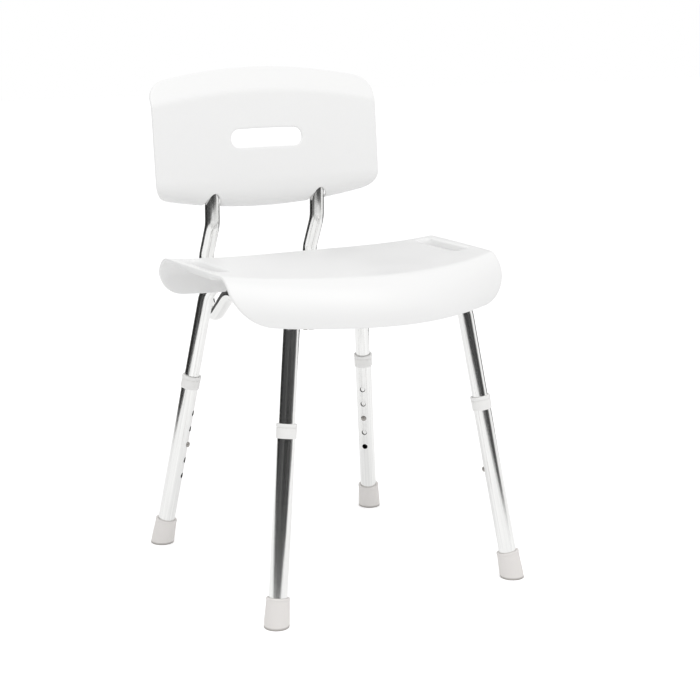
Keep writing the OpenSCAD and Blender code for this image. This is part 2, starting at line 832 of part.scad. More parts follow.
// threaded sleeves in the hoops' lower walls; the bulge grips the wall from inside
module rivet_nuts() {
  inside = tube_wall + 0.6;
  bulge_h = 2;
  for (side = [-1, 1])
    color(steel) placed() at_rail_bolts(side) translate([0, 0, -saddle(rivet_r)]) difference() {
      union() {
        cylinder(r = rivet_r, h = rivet_h);
        translate([0, 0, inside]) cylinder(r = rivet_bulge_r, h = bulge_h);
      }
      translate([0, 0, -through]) cylinder(d = bolt_d + 2 * screw_fit, h = rivet_h + 2 * through);
    }
}

screw_len = tube_r + washer_gap + seat_top_h - boss_skin - screw_end_gap - upper_hoop_h;

module seat_screws() {
  placed() for (side = [-1, 1], s = screw_stations)
    along_hoop(side, s) translate([0, 0, -tube_r - washer_gap])
      bolt(screw_len, screw_d, screw_head_d, screw_head_h);
}

module back_screws() {
  reach = tube_d + back_tube_gap + back_wall / 2 - screw_end_gap;
  placed() for (z = [low_back_screw_h, high_back_screw_h])
    at_back_tubes(z) translate([0, tube_r + washer_gap, 0]) rotate([90, 0, 0])
      bolt(reach, screw_d, screw_head_d, screw_head_h);
}

// ---- lower legs ----

leg_top_at = collar_at + collar_h - collar_lip_h;

module leg_tube(front, left) {
  color(aluminium) at_leg(front, left) difference() {
    translate([0, 0, foot_sole]) cylinder(r = leg_r, h = leg_top_at - foot_sole);
    cylinder(r = leg_in_r, h = leg_top_at + through);
    for (k = [-holes_each_side:holes_each_side]) translate([0, 0, k * hole_pitch]) button_hole(leg_r);
  }
}

groove_h = 1.2;
groove_depth = 0.6;

module collar(front, left) {
  rim_at = collar_h - collar_rim_h;
  rim_r = collar_rim_d / 2;
  low_r = collar_d / 2;
  bore_r = leg_r + seat_fit;
  neck_r = tube_r + leg_clearance;
  lip_at = collar_h - collar_lip_h + seat_fit;
  edge = 0.6;
  color(collar_white) at_leg(front, left) translate([0, 0, collar_at]) rotate_extrude() polygon([
    [bore_r, 0], [low_r - edge, 0], [low_r, edge],
    [low_r, rim_at - groove_h], [low_r - groove_depth, rim_at - groove_h],
    [low_r - groove_depth, rim_at], [rim_r, rim_at],
    [rim_r, collar_h - edge], [rim_r - edge, collar_h], [neck_r, collar_h],
    [neck_r, lip_at], [bore_r, lip_at]
  ]);
}

module foot(front, left) {
  tread_h = 9;
  rim_h = 3;
  rim_proud = 0.5;
  edge = 1;
  bore_r = leg_r + seat_fit;
  below = 6;
  floor_half = foot_d;
  color(rubber_grey) difference() {
    at_leg(front, left) rotate_extrude() polygon([
      [0, -below], [foot_d / 2, -below], [foot_d / 2, tread_h],
      [foot_top_d / 2, foot_h - rim_h], [foot_top_d / 2 + rim_proud, foot_h - rim_h + rim_proud],
      [foot_top_d / 2 + rim_proud, foot_h - edge], [foot_top_d / 2 - edge, foot_h],
      [bore_r, foot_h], [bore_r, foot_sole - seat_fit], [0, foot_sole - seat_fit]
    ]);
    placed() translate([
      (left ? -1 : 1) * (front ? front_feet_w : rear_feet_w) / 2 - floor_half,
      (front ? -1 : 1) * feet_depth / 2 - floor_half, -2 * floor_half
    ]) cube(2 * floor_half);
  }
}

// the button's flange bears on the spring, which bears on the tube's far wall
flange_r = button_d / 2 + 1.3;
flange_h = 1;
flange_out = sqrt(tube_in_r * tube_in_r - flange_r * flange_r) - seat_fit;

module snap_button(front, left) {
  tip = leg_r + button_proud;
  dome_h = 1.2;
  dome_r = (button_d * button_d / 4 + dome_h * dome_h) / (2 * dome_h);
  color(steel) at_leg(front, left) translate([0, 0, button_at]) rotate([0, 90, 0]) {
    translate([0, 0, flange_out - flange_h]) cylinder(r = flange_r, h = flange_h);
    translate([0, 0, flange_out]) cylinder(d = button_d, h = tip - dome_h - flange_out);
    translate([0, 0, tip - dome_h]) intersection() {
      cylinder(d = button_d, h = dome_h);
      translate([0, 0, dome_h - dome_r]) sphere(r = dome_r);
    }
  }
}

spring_w = 7;
spring_t = 0.6;

module button_spring(front, left) {
  high_x = flange_out - flange_h;
  low_x = seat_fit - sqrt(tube_in_r * tube_in_r - spring_w * spring_w / 4);
  bend_r = (high_x - low_x) / 2;
  bend_x = (high_x + low_x) / 2;
  arm = 20;
  over = 8;
  color(steel) at_leg(front, left) translate([0, spring_w / 2, button_at]) rotate([90, 0, 0])
    linear_extrude(spring_w) {
      translate([bend_x, -arm]) difference() {
        circle(r = bend_r);
        circle(r = bend_r - spring_t);
        translate([-2 * bend_r, 0]) square(4 * bend_r);
      }
      translate([low_x, -arm]) square([spring_t, arm + over]);
      translate([high_x - spring_t, -arm]) square([spring_t, arm + over]);
    }
}

module leg_tube_front_left() {
  leg_tube(true, true);
}

module leg_tube_front_right() {
  leg_tube(true, false);
}

module leg_tube_rear_left() {
  leg_tube(false, true);
}

module leg_tube_rear_right() {
  leg_tube(false, false);
}

module collar_front_left() {
  collar(true, true);
}

module collar_front_right() {
  collar(true, false);
}

module collar_rear_left() {
  collar(false, true);
}

module collar_rear_right() {
  collar(false, false);
}

module foot_front_left() {
  foot(true, true);
}

module foot_front_right() {
  foot(true, false);
}

module foot_rear_left() {
  foot(false, true);
}

module foot_rear_right() {
  foot(false, false);
}

module snap_button_front_left() {
  snap_button(true, true);
}

module snap_button_front_right() {
  snap_button(true, false);
}

module snap_button_rear_left() {
  snap_button(false, true);
}

module snap_button_rear_right() {
  snap_button(false, false);
}

module button_spring_front_left() {
  button_spring(true, true);
}

module button_spring_front_right() {
  button_spring(true, false);
}

module button_spring_rear_left() {
  button_spring(false, true);
}

module button_spring_rear_right() {
  button_spring(false, false);
}

seat_shell();
back_panel();
hoop_front_left();
hoop_front_right();
back_tube_left();
back_tube_right();
top_plug_left();
top_plug_right();
rail_plug_left();
rail_plug_right();
cross_spacer();
cross_bolt();
cross_nut();
rail_spacers_short();
rail_spacers_long();
rail_bolts_short();
rail_bolts_long();
rivet_nuts();
seat_screws();
back_screws();
leg_tube_front_left();
leg_tube_front_right();
leg_tube_rear_left();
leg_tube_rear_right();
collar_front_left();
collar_front_right();
collar_rear_left();
collar_rear_right();
foot_front_left();
foot_front_right();
foot_rear_left();
foot_rear_right();
snap_button_front_left();
snap_button_front_right();
snap_button_rear_left();
snap_button_rear_right();
button_spring_front_left();
button_spring_front_right();
button_spring_rear_left();
button_spring_rear_right();
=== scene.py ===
# %% [markdown]
# # A shower chair on four telescopic legs
# The chair is two white moulded shells on a frame of polished aluminium tube. The engineering
# model gives every place and size, and this file gives the surfaces: soft moulded edges, clean
# tubes, turned rubber feet, and a finish for each of them.
#
# The first cell loads the engineering model.

# %% Load the engineering model
import math
from collections import Counter

import bmesh
import bpy
import numpy as np
from mathutils import Matrix, Vector
from mathutils.geometry import delaunay_2d_cdt


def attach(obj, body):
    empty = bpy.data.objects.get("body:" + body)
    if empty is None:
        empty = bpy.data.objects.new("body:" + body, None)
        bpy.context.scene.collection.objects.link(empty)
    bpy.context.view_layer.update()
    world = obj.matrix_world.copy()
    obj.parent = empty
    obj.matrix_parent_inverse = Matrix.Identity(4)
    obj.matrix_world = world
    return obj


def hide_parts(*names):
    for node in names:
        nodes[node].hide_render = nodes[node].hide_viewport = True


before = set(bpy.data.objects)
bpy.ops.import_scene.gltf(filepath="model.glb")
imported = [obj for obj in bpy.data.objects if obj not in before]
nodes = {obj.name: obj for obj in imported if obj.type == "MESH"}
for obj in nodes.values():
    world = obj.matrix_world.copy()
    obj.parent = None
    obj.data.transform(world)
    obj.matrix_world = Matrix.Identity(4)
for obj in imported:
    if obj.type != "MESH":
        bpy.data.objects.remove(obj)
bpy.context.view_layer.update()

# %% [markdown]
# ## Sizes
# All sizes are in millimetres here and become metres when a mesh is made. They repeat the
# engineering model's own values, so each surface lands on the solid that it finishes. The feet
# stand on z = 0, x runs to the viewer's right and y to the rear.

# %% The chair's sizes
MM = 0.001
SIDES = ((-1, "left"), (1, "right"))
SEAT_W, SEAT_FRONT, SEAT_REAR, SEAT_TOP, SEAT_WALL = 442.0, 205.0, 102.0, 450.5, 4.0
REAR_ROLL, REAR_DROP, FRONT_ROLL, FRONT_TURN = 30.0, 55.0, 54.0, math.radians(97)
SIDE_RISE, FRONT_BOW, BOW_START, BOW_EASE, FRONT_TAPER = 6.5, 83.0, 30.0, 0.5, 5.5
FRONT_CORNER, REAR_CORNER = 49.0, 34.0
HAND_W, HAND_LEN, HAND_INSET, HAND_Y, HAND_R, SLOT_DEPTH = 24.0, 106.0, 16.0, 7.0, 8.0, 12.0

BACK_W, BACK_WALL, BACK_TOP, BACK_LOW = 374.0, 4.0, 709.0, 500.5
LIP_H, CREASE_H, SLOT_H, PANEL_GAP = 548.0, 675.5, 605.0, 2.0
BACK_Y, BACK_LEAN, BACK_CURVE, BAND_LEAN = 192.5, math.radians(6.3), 8.0, math.radians(27)
TOP_FALL, CREASE_FALL, LOW_RISE, LIP_DEPTH = 21.4, 18.7, 21.0, 29.0
TOP_CORNER, LOW_CORNER, BACK_SLOT_W, BACK_SLOT_H = 25.0, 41.0, 119.0, 27.0

TUBE_R, TUBE_WALL, LEG_R, LEG_CLEAR = 11.0, 1.2, 12.5, 0.35
FRONT_W, REAR_W, FEET_DEPTH, LEAN = 382.0, 367.0, 386.0, math.radians(11.25)
LOW_HOOP, HIGH_HOOP, HOOP_BEND = 409.0, 432.0, 40.0
RAIL_H, RAIL_FRONT, TUBE_X, UPRIGHT_Y = 385.0, 104.0, 89.0, 223.0
BUTTON_AT, HOLE_PITCH, HOLE_R, HOOP_END = 162.5, 25.0, 4.0, 124.5
COLLAR_AT, COLLAR_H, COLLAR_LIP = 250.2, 19.4, 4.5
FOOT_R, FOOT_TOP_R, FOOT_H, FOOT_SOLE = 17.0, 15.7, 39.0, 9.0
FIT = 0.15

HOOP_DX = (FRONT_W + REAR_W) / 2
HOOP_LEN, HOOP_DIR = math.hypot(HOOP_DX, FEET_DEPTH), math.atan2(FEET_DEPTH, HOOP_DX)
foot_reach = math.hypot(FOOT_R / math.cos(LEAN) * math.sin(HOOP_DIR), FOOT_R * math.cos(HOOP_DIR))
front_reach = max(FEET_DEPTH / 2 + foot_reach, SEAT_FRONT)
rear_reach = max(FEET_DEPTH / 2 + foot_reach, UPRIGHT_Y + TUBE_R)
SHIFT = np.array([0.0, (front_reach - rear_reach) / 2, 0.0])


def hoop_point(side, s):
    """x and y at the distance s along a hoop; side is that of the hoop's front leg."""
    x = side * (FRONT_W / 2 - s * math.cos(HOOP_DIR))
    return np.array([x, s * math.sin(HOOP_DIR) - FEET_DEPTH / 2])


def hoop_height(side):
    return HIGH_HOOP if side < 0 else LOW_HOOP


def hoop_turn(side):
    return HOOP_DIR if side < 0 else math.pi - HOOP_DIR


print("shift of the frame's middle", round(SHIFT[1], 3), "mm")

# %% [markdown]
# ## From points to a mesh
# Every surface below is worked out as an array of points. One helper turns points and faces
# into an object, in metres, with outward faces and smooth shading. Edges sharper than a given
# angle stay crisp, which is how a turned rim or a drilled hole keeps its line.

# %% Mesh helper
CRISP, TURNED_CRISP, MERGE_GAP = 35, 40, 2e-6


def show(name, data):
    """A new object in the scene."""
    piece = bpy.data.objects.new(name, data)
    bpy.context.scene.collection.objects.link(piece)
    return piece


def new_mesh(name, points, edges=(), faces=()):
    """A mesh in metres from points in millimetres."""
    mesh = bpy.data.meshes.new(name)
    places = (np.asarray(points, float) + SHIFT) * MM
    mesh.from_pydata(places.tolist(), list(edges), [list(map(int, f)) for f in faces])
    return mesh


def make_object(name, points, faces, crisp=CRISP, straight=None, second=None, quiet=False):
    """straight: the points on the unbent piece; second: which faces take the second finish."""
    mesh = new_mesh(name, points, faces=faces)
    if second is not None:
        mesh.polygons.foreach_set("material_index", np.asarray(second, np.int32))
    if straight is not None:
        layer = mesh.attributes.new("straight", "FLOAT_VECTOR", "POINT")
        layer.data.foreach_set("vector", (np.asarray(straight) * MM).astype(np.float32).ravel())
    tidy_mesh(mesh, crisp, quiet)
    return show(name, mesh)


def tidy_mesh(mesh, crisp, quiet=False):
    """Merges doubles, turns the faces outwards and shades all but the crisp edges smooth."""
    bm = bmesh.new()
    bm.from_mesh(mesh)
    bmesh.ops.remove_doubles(bm, verts=bm.verts, dist=MERGE_GAP)
    bmesh.ops.dissolve_degenerate(bm, edges=bm.edges, dist=1e-7)
    bmesh.ops.recalc_face_normals(bm, faces=bm.faces)
    open_edges = sum(1 for e in bm.edges if not e.is_manifold)
    if bm.calc_volume(signed=True) < 0:
        bmesh.ops.reverse_faces(bm, faces=bm.faces)
    bm.to_mesh(mesh)
    bm.free()
    mesh.shade_smooth()
    mesh.set_sharp_from_angle(angle=math.radians(crisp))
    mesh.update()
    if not quiet or open_edges:
        print(mesh.name, len(mesh.polygons), "faces,", open_edges, "open edges")


def join(name, parts):
    with bpy.context.temp_override(active_object=parts[0], selected_editable_objects=parts):
        bpy.ops.object.join()
    parts[0].name = name
    return parts[0]

# %% [markdown]
# ## Light moulded shells
# The seat and the back panel are thin plastic sheets with rounded edges, cut through by hand
# slots and by openings for the tubes. A flat outline is drawn first, in the sheet's own unrolled
# plane. It is filled with a net of triangles that follows each edge in close rings, and then
# the net is laid onto the curved form twice: once for the outer face, once for the inner one.
# Near an edge both faces draw together along a quarter circle, and that makes the moulded
# edge. The same helper later makes the drilled leg tubes. A boolean cut would be shorter to
# write, but it leaves ragged triangles that show in a glossy surface.

# %% Outline helpers
def grid(across, along):
    return np.stack(np.meshgrid(across, along), -1).reshape(-1, 2)


def resample(loop, step):
    """The same closed outline with points at even steps."""
    loop = np.asarray(loop, float)
    ends = np.vstack([loop, loop[:1]])
    along = np.r_[0, np.cumsum(np.hypot(*np.diff(ends, axis=0).T))]
    count = max(8, int(round(along[-1] / step)))
    at = np.arange(count) * along[-1] / count
    return np.c_[np.interp(at, along, ends[:, 0]), np.interp(at, along, ends[:, 1])]


def soften(loop, reach, step=0.8):
    """Rounds the corners of a closed outline."""
    fine = resample(loop, step)
    half = int(4 * reach / step) + 1
    weights = np.exp(-0.5 * (np.arange(-half, half + 1) * step / reach) ** 2)
    weights /= weights.sum()
    wrapped = np.vstack([fine[-half:], fine, fine[:half]])
    return np.c_[tuple(np.convolve(wrapped[:, k], weights, "valid") for k in (0, 1))]


def turned_way(loop, anticlockwise):
    ahead = np.roll(loop, -1, axis=0)
    area = np.sum(loop[:, 0] * ahead[:, 1] - ahead[:, 0] * loop[:, 1])
    return loop if (area > 0) == anticlockwise else loop[::-1]


def inset(loop, distance):
    """Moves an outline into the material, which lies on its left."""
    way = np.roll(loop, -1, axis=0) - np.roll(loop, 1, axis=0)
    way /= np.hypot(way[:, 0], way[:, 1])[:, None]
    return loop + distance * np.c_[-way[:, 1], way[:, 0]]


def inside(points, loop):
    """True for each point that lies within the outline."""
    x, y = points[:, 0], points[:, 1]
    hit = np.zeros(len(points), bool)
    for (x1, y1), (x2, y2) in zip(loop, np.roll(loop, -1, axis=0)):
        if y1 != y2:
            hit ^= ((y1 > y) != (y2 > y)) & (x < (x2 - x1) * (y - y1) / (y2 - y1) + x1)
    return hit


def nearest(points, others):
    """The distance from each point to the closest of the others."""
    best = np.full(len(points), 1e9)
    for k in range(0, len(others), 64):
        gap = points[:, None, :] - others[None, k:k + 64, :]
        best = np.minimum(best, np.sqrt((gap ** 2).sum(2)).min(1))
    return best

# %% A sheet's edge and the openings in it
def half_chord(radius, off):
    """Half the width of a round opening at the height off above its middle."""
    return np.sqrt(np.clip(radius ** 2 - np.clip(off, 0, None) ** 2, 0, None))


def notch(middle, half, along):
    """Up one side of an opening and down the other."""
    return np.vstack([np.c_[middle - half, along], np.c_[middle + half, along][::-1]])


def sheet_edge(half, run, count, notches, soft, step):
    """The outline of a sheet from its half width, with the notches in its lower edge."""
    along = np.linspace(0, run, count)
    right = np.c_[half(along), along]
    end = float(half(0.0))
    mirrored = (right * [-1, 1])[::-1][:-1]
    loop = np.vstack([[[-end, 0.0]], *notches, [[end, 0.0]], right[1:], mirrored])
    return resample(turned_way(soften(loop, soft), True), step)

# %% The shell builder
RING_STEPS = [1 - math.cos(math.radians(a)) for a in (0, 24, 46, 68, 90)]


def edge_drop(distance, radius):
    """How far a rounded edge has sunk at a distance from the cut."""
    near = np.clip(distance, 0, radius)
    return radius - np.sqrt(np.maximum(radius ** 2 - (radius - near) ** 2, 0))


def rounded_rows(top_r, low_r, wall):
    """The rounded cut edge of a sheet as rows of distance, upper depth and lower depth."""
    return [(ring * top_r, edge_drop(ring * top_r, top_r), wall - edge_drop(ring * top_r, low_r))
            for ring in RING_STEPS]


def fill_outline(edges, fill, wall, keep_off, border=None):
    """edges: (outline, rows, is a hole). Returns points, depths with edge marks, triangles."""
    points, depths, constraints = [], [], []
    for loop, rows, _ in edges:
        for k_row, (away, upper, lower) in enumerate(rows):
            first = sum(len(p) for p in points)
            points.append(inset(loop, away))
            depths.append(np.tile([upper, lower, k_row < len(rows) - 1], (len(loop), 1)))
            constraints += [(first + k, first + (k + 1) % len(loop)) for k in range(len(loop))]
    keep = np.ones(len(fill), bool)
    for loop, rows, hole in edges:
        keep &= inside(fill, loop) != hole
        keep &= nearest(fill, inset(loop, rows[-1][0])) > keep_off
    points.append(fill[keep])
    depths.append(np.tile([0.0, wall, 0.0], (keep.sum(), 1)))
    if border is not None:
        points.append(border[0])
        depths.append(border[1])
    points, depths = np.vstack(points), np.vstack(depths)
    made = delaunay_2d_cdt([Vector(p) for p in points.tolist()], constraints, [], 0, 1e-4, True)
    source = np.array([ids[0] if ids else -1 for ids in made[3]])
    flat = np.array([v[:] for v in made[0]])
    triangles = np.array(made[2])
    middles = flat[triangles].mean(1)
    keep = np.ones(len(triangles), bool)
    for loop, _, hole in edges:
        keep &= inside(middles, loop) != hole
    return flat, depths[source], triangles[keep]

# %% Lay a net down as a shell
def shell(name, net, place, crisp=CRISP, seam=None, straight=None):
    """Lays the net down twice and closes its rim. At the seam the net meets itself instead."""
    flat, depths, triangles = net
    outer, inner = place(flat, depths[:, 0]), place(flat, depths[:, 1])
    count = len(flat)
    pairs = np.vstack([triangles[:, [0, 1]], triangles[:, [1, 2]], triangles[:, [2, 0]]]).tolist()
    uses = Counter((min(pair), max(pair)) for pair in pairs)
    on_seam = np.zeros(count, bool) if seam is None else np.abs(np.abs(flat[:, 0]) - seam) < 1e-3
    rim = [(a, b) for a, b in pairs
           if uses[min(a, b), max(a, b)] == 1 and not (on_seam[a] and on_seam[b])]
    faces = triangles.tolist() + (triangles[:, ::-1] + count).tolist()
    faces += [(b, a, a + count, b + count) for a, b in rim]
    # Faces at a cut edge and the rim take the second finish; on the leg tubes that is dark cut metal with
    # painted shade in the holes.
    edge = (depths[:, 2] > 0)[triangles].any(1)
    second = np.r_[edge, edge, np.ones(len(rim), bool)]
    unbent = None if straight is None else np.vstack([straight(flat)] * 2)
    return make_object(name, np.vstack([outer, inner]), faces, crisp, unbent, second)

# %% [markdown]
# ## The seat
# The seat is one sheet 4 mm thick. Its profile rises from the rear wall, rolls forward over a
# bend of 30 mm, runs level and turns down over a large soft roll of 54 mm at the front. The side
# edges lift a little and the front wall bows back towards the sides, so that the sitter's legs
# meet no edge. Two hand slots lie close to the sides, each with a soft rolled rim and a short
# wall round it, which keeps the fingers off a thin edge. Where each hoop passes the rear wall,
# the wall has an arch.

# %% The seat's form
WALL_LEN, REAR_LEN = REAR_DROP - REAR_ROLL, REAR_ROLL * math.pi / 2
REAR_CREST, FRONT_CREST = SEAT_REAR - REAR_ROLL, FRONT_ROLL - SEAT_FRONT
FLAT_LEN, FRONT_LEN = REAR_CREST - FRONT_CREST, FRONT_ROLL * FRONT_TURN
SEAT_LEN = WALL_LEN + REAR_LEN + FLAT_LEN + FRONT_LEN


def seat_profile(s):
    """Returns y, z and the outward direction at the distance s along the profile."""
    turn_rear = np.clip((s - WALL_LEN) / REAR_ROLL, 0, math.pi / 2)
    turn_front = np.clip((s - WALL_LEN - REAR_LEN - FLAT_LEN) / FRONT_ROLL, 0, FRONT_TURN)
    angle, in_front = turn_rear + turn_front, turn_front > 0
    level = np.clip(s - WALL_LEN - REAR_LEN, 0, FLAT_LEN)
    y = np.where(in_front, FRONT_CREST + FRONT_ROLL * np.cos(angle),
                 REAR_CREST - level + REAR_ROLL * np.cos(turn_rear))
    z = np.where(in_front, SEAT_TOP - FRONT_ROLL + FRONT_ROLL * np.sin(angle),
                 SEAT_TOP - REAR_ROLL + REAR_ROLL * np.sin(turn_rear) + np.minimum(s - WALL_LEN, 0))
    return y, z, np.cos(angle), np.sin(angle)


def smooth(t):
    t = np.clip(t, 0, 1)
    return t * t * (3 - 2 * t)


def seat_bow(x, y):
    e = x / (SEAT_W / 2)
    curve = (np.hypot(e, BOW_EASE) - BOW_EASE) / (math.hypot(1, BOW_EASE) - BOW_EASE)
    return FRONT_BOW * curve * smooth((-BOW_START - y) / (SEAT_FRONT - BOW_START))


def seat_place(flat, depth):
    x, s = flat[:, 0], flat[:, 1]
    y, z, out_y, out_z = seat_profile(s)
    rise = SIDE_RISE * (x / (SEAT_W / 2)) ** 4
    return np.c_[x, y - out_y * depth + seat_bow(x, y), z - out_z * depth + rise]


def corner_inset(radius, distance):
    gap = np.clip(radius - distance, 0, radius)
    return radius - np.sqrt(radius ** 2 - gap ** 2)


def seat_half(s):
    y = seat_profile(s)[0]
    drawn_in = FRONT_TAPER * np.clip((BOW_START - y) / (BOW_START + SEAT_FRONT), 0, 1)
    return SEAT_W / 2 - corner_inset(REAR_CORNER, s) - corner_inset(FRONT_CORNER, SEAT_LEN - s) - drawn_in

# %% Arches and slots in the seat
ARCH_GAP, SEAT_ROUND = 3.5, (1.7, 1.1)


def hoop_x(side, y):
    return side * (FRONT_W / 2 - (y + FEET_DEPTH / 2) / math.tan(HOOP_DIR))


def seat_arch(side):
    radius = TUBE_R + ARCH_GAP
    s = np.linspace(0, WALL_LEN + REAR_LEN, 400)
    y, z = seat_profile(s)[:2]
    low = z < HIGH_HOOP + radius
    half = half_chord(radius, z[low] - HIGH_HOOP) / math.sin(HOOP_DIR)
    return notch(hoop_x(side, y[low]), half, s[low])


def rounded_rectangle(width, height, radius, sides=12):
    corners = []
    for k, (sx, sy) in enumerate(((1, 1), (-1, 1), (-1, -1), (1, -1))):
        x, y = sx * (width / 2 - radius), sy * (height / 2 - radius)
        for a in np.linspace(k * math.pi / 2, (k + 1) * math.pi / 2, sides):
            corners.append((x + radius * math.cos(a), y + radius * math.sin(a)))
    return np.array(corners)


def seat_slot(side):
    middle = [side * (SEAT_W / 2 - HAND_INSET - HAND_W / 2), HAND_Y]
    hole = rounded_rectangle(HAND_W, HAND_LEN, HAND_R) + middle
    y = hole[:, 1].copy()
    for _ in range(6):
        y = hole[:, 1] - seat_bow(hole[:, 0], y)
    hole[:, 1] = WALL_LEN + REAR_LEN + REAR_CREST - y
    return turned_way(resample(hole, 2.2), False)


# The wall moulded round a hand slot: a wide soft roll above, an upright wall below. Each row
# is the distance from the slot, the upper depth and the lower depth.
SLOT_ROWS = [(0.0, 5.0, SLOT_DEPTH - 0.9), (0.4, 3.0, SLOT_DEPTH - 0.25),
             (1.1, 1.75, SLOT_DEPTH), (2.9, 0.45, SLOT_DEPTH), (3.6, 0.2, SLOT_DEPTH - 0.7),
             (4.0, 0.1, SEAT_WALL + 1.4), (4.4, 0.05, SEAT_WALL + 0.5), (5.4, 0.0, SEAT_WALL)]
seat_edge = sheet_edge(seat_half, SEAT_LEN, 500, [seat_arch(1), seat_arch(-1)], 1.6, 2.6)
seat_edges = [(seat_edge, rounded_rows(*SEAT_ROUND, SEAT_WALL), False)]
seat_edges += [(seat_slot(side), SLOT_ROWS, True) for side in (-1, 1)]
seat_fill = grid(np.linspace(-219, 219, 98), np.linspace(2, SEAT_LEN - 2, 110))
seat = shell("seat_surface", fill_outline(seat_edges, seat_fill, SEAT_WALL, 2.2), seat_place)

# %% [markdown]
# ## The back panel
# The panel is a second sheet. A curved lip runs along its foot and reaches back to the tubes.
# Above it comes the leaning face with a hand slot, and at the top a band that leans back more. The
# crease between face and band is a soft bend, so it catches the light as a line and not as a cut.
# The two tubes come up through openings in the lip.

# %% The panel's form
LIP_RUN, FACE_RUN, BAND_RUN, EDGE_DEGREES, CREASE_SOFT = 60.0, 127.0, 38.0, 6, 4.0
EDGE_TURN = math.radians(EDGE_DEGREES)


def face_y(e, z):
    return BACK_Y - BACK_CURVE * e * e + (z - SLOT_H) * math.tan(BACK_LEAN)


def back_section(e, v):
    """y, z and lean of the front face at the share e across and the distance v up the sheet."""
    crease = CREASE_H - CREASE_FALL * e * e
    lip_h = LIP_H - BACK_LOW - LOW_RISE * e * e
    a = EDGE_TURN + (math.pi / 2 - EDGE_TURN) * np.clip(v / LIP_RUN, 0, 1)
    f = np.clip((v - LIP_RUN) / FACE_RUN, 0, 1)
    b = np.clip((v - LIP_RUN - FACE_RUN) / BAND_RUN, 0, 1)
    band = BACK_TOP - TOP_FALL * e * e - crease
    z = LIP_H - lip_h * np.cos(a) + (crease - LIP_H) * f + band * b
    above = z - crease
    bend = np.where(above > CREASE_SOFT, above, (above + CREASE_SOFT) ** 2 / (4 * CREASE_SOFT))
    bend = np.where(above < -CREASE_SOFT, 0, bend)
    share = np.clip((above + CREASE_SOFT) / (2 * CREASE_SOFT), 0, 1)
    extra = math.tan(BAND_LEAN) - math.tan(BACK_LEAN)
    y = face_y(e, z) + extra * bend + LIP_DEPTH * (1 - np.sin(a))
    lip_lean = BACK_LEAN + np.arctan2(-LIP_DEPTH * np.cos(a), lip_h * np.sin(a))
    return y, z, np.where(v < LIP_RUN, lip_lean, np.arctan(math.tan(BACK_LEAN) + extra * share))


def back_place(flat, depth):
    y, z, lean = back_section(flat[:, 0] / (BACK_W / 2), flat[:, 1])
    return np.c_[flat[:, 0], y + depth * np.cos(lean), z - depth * np.sin(lean)]


def back_half(v):
    lip_end = 0.75 * (LIP_H - BACK_LOW - LOW_RISE + LIP_DEPTH)
    turn = EDGE_DEGREES + (90 - EDGE_DEGREES) * np.clip(v / LIP_RUN, 0, 1)
    low = np.where(v < LIP_RUN, corner_inset(LOW_CORNER, lip_end * turn / 90), 0)
    band_end = (BACK_TOP - TOP_FALL - CREASE_H + CREASE_FALL) / math.cos(BAND_LEAN)
    b = np.clip((v - LIP_RUN - FACE_RUN) / BAND_RUN, 0, 1)
    return BACK_W / 2 - low - np.where(b > 0, corner_inset(TOP_CORNER, band_end * (1 - b)), 0)


TUBE_E, LEAN_FROM = TUBE_X / (BACK_W / 2), 532.0


def leaning_tube_y(z):
    return face_y(TUBE_E, z) + (BACK_WALL + PANEL_GAP + TUBE_R) / math.cos(BACK_LEAN)


STEP_Y = leaning_tube_y(LEAN_FROM)

# %% The panel's outline, slot and openings
LIP_GAP, BACK_ROUND, BACK_SLOT_ROUND = 2.5, (1.7, 1.2), (1.9, 1.4)
BACK_RUN = LIP_RUN + FACE_RUN + BAND_RUN


def lip_opening(side):
    radius = TUBE_R + LIP_GAP
    v = np.linspace(0, LIP_RUN, 400)
    y = back_section(TUBE_E, v)[0]
    near = y > STEP_Y - radius
    return notch(side * TUBE_X, half_chord(radius, STEP_Y - y[near]), v[near])


back_edge = sheet_edge(back_half, BACK_RUN, 400, [lip_opening(-1), lip_opening(1)], 1.5, 2.4)
slot = rounded_rectangle(BACK_SLOT_W, BACK_SLOT_H, BACK_SLOT_H / 2 - 0.01, 20) + [0, SLOT_H]
crease = CREASE_H - CREASE_FALL * (slot[:, 0] / (BACK_W / 2)) ** 2
slot[:, 1] = LIP_RUN + FACE_RUN * (slot[:, 1] - LIP_H) / (crease - LIP_H)
back_slot = turned_way(resample(slot, 2.0), False)
back_edges = [(back_edge, rounded_rows(*BACK_ROUND, BACK_WALL), False),
              (back_slot, rounded_rows(*BACK_SLOT_ROUND, BACK_WALL), True)]
back_fill = grid(np.linspace(-185.5, 185.5, 86), np.linspace(1.5, BACK_RUN - 1.5, 74))
back = shell("back_surface", fill_outline(back_edges, back_fill, BACK_WALL, 2.1), back_place)

# %% [markdown]
# ## The tubes of the frame
# A tube that follows a path is a task for Geometry Nodes: a path curve, a round profile swept
# along it, and a wall drawn inwards. The same tree makes the two crossing hoops and the two back
# tubes, with its radius and wall as inputs. The tree also stores where each point would be if the
# tube were straight. The metal's fine drawing lines are laid out with that, so they follow
# the tube round its bends.

# %% Paths with bends
def bent_path(corners, radii):
    """Points of a path in its own plane, with an arc at each inner corner."""
    corners = np.array(corners, float)
    path = [corners[0]]
    for k, radius in enumerate(radii, 1):
        into, away = corners[k] - corners[k - 1], corners[k + 1] - corners[k]
        into, away = into / np.hypot(*into), away / np.hypot(*away)
        turn = math.atan2(into[0] * away[1] - into[1] * away[0], into @ away)
        cut = radius * math.tan(abs(turn) / 2)
        way = math.copysign(1, turn)
        centre = corners[k] - cut * into + radius * way * np.array([-into[1], into[0]])
        start = math.atan2(*(corners[k] - cut * into - centre)[::-1])
        steps = max(3, int(abs(math.degrees(turn)) / 4))
        for angle in [start + turn * j / steps for j in range(steps + 1)]:
            path.append(centre + radius * np.array([math.cos(angle), math.sin(angle)]))
    path.append(corners[-1])
    return np.array(path)


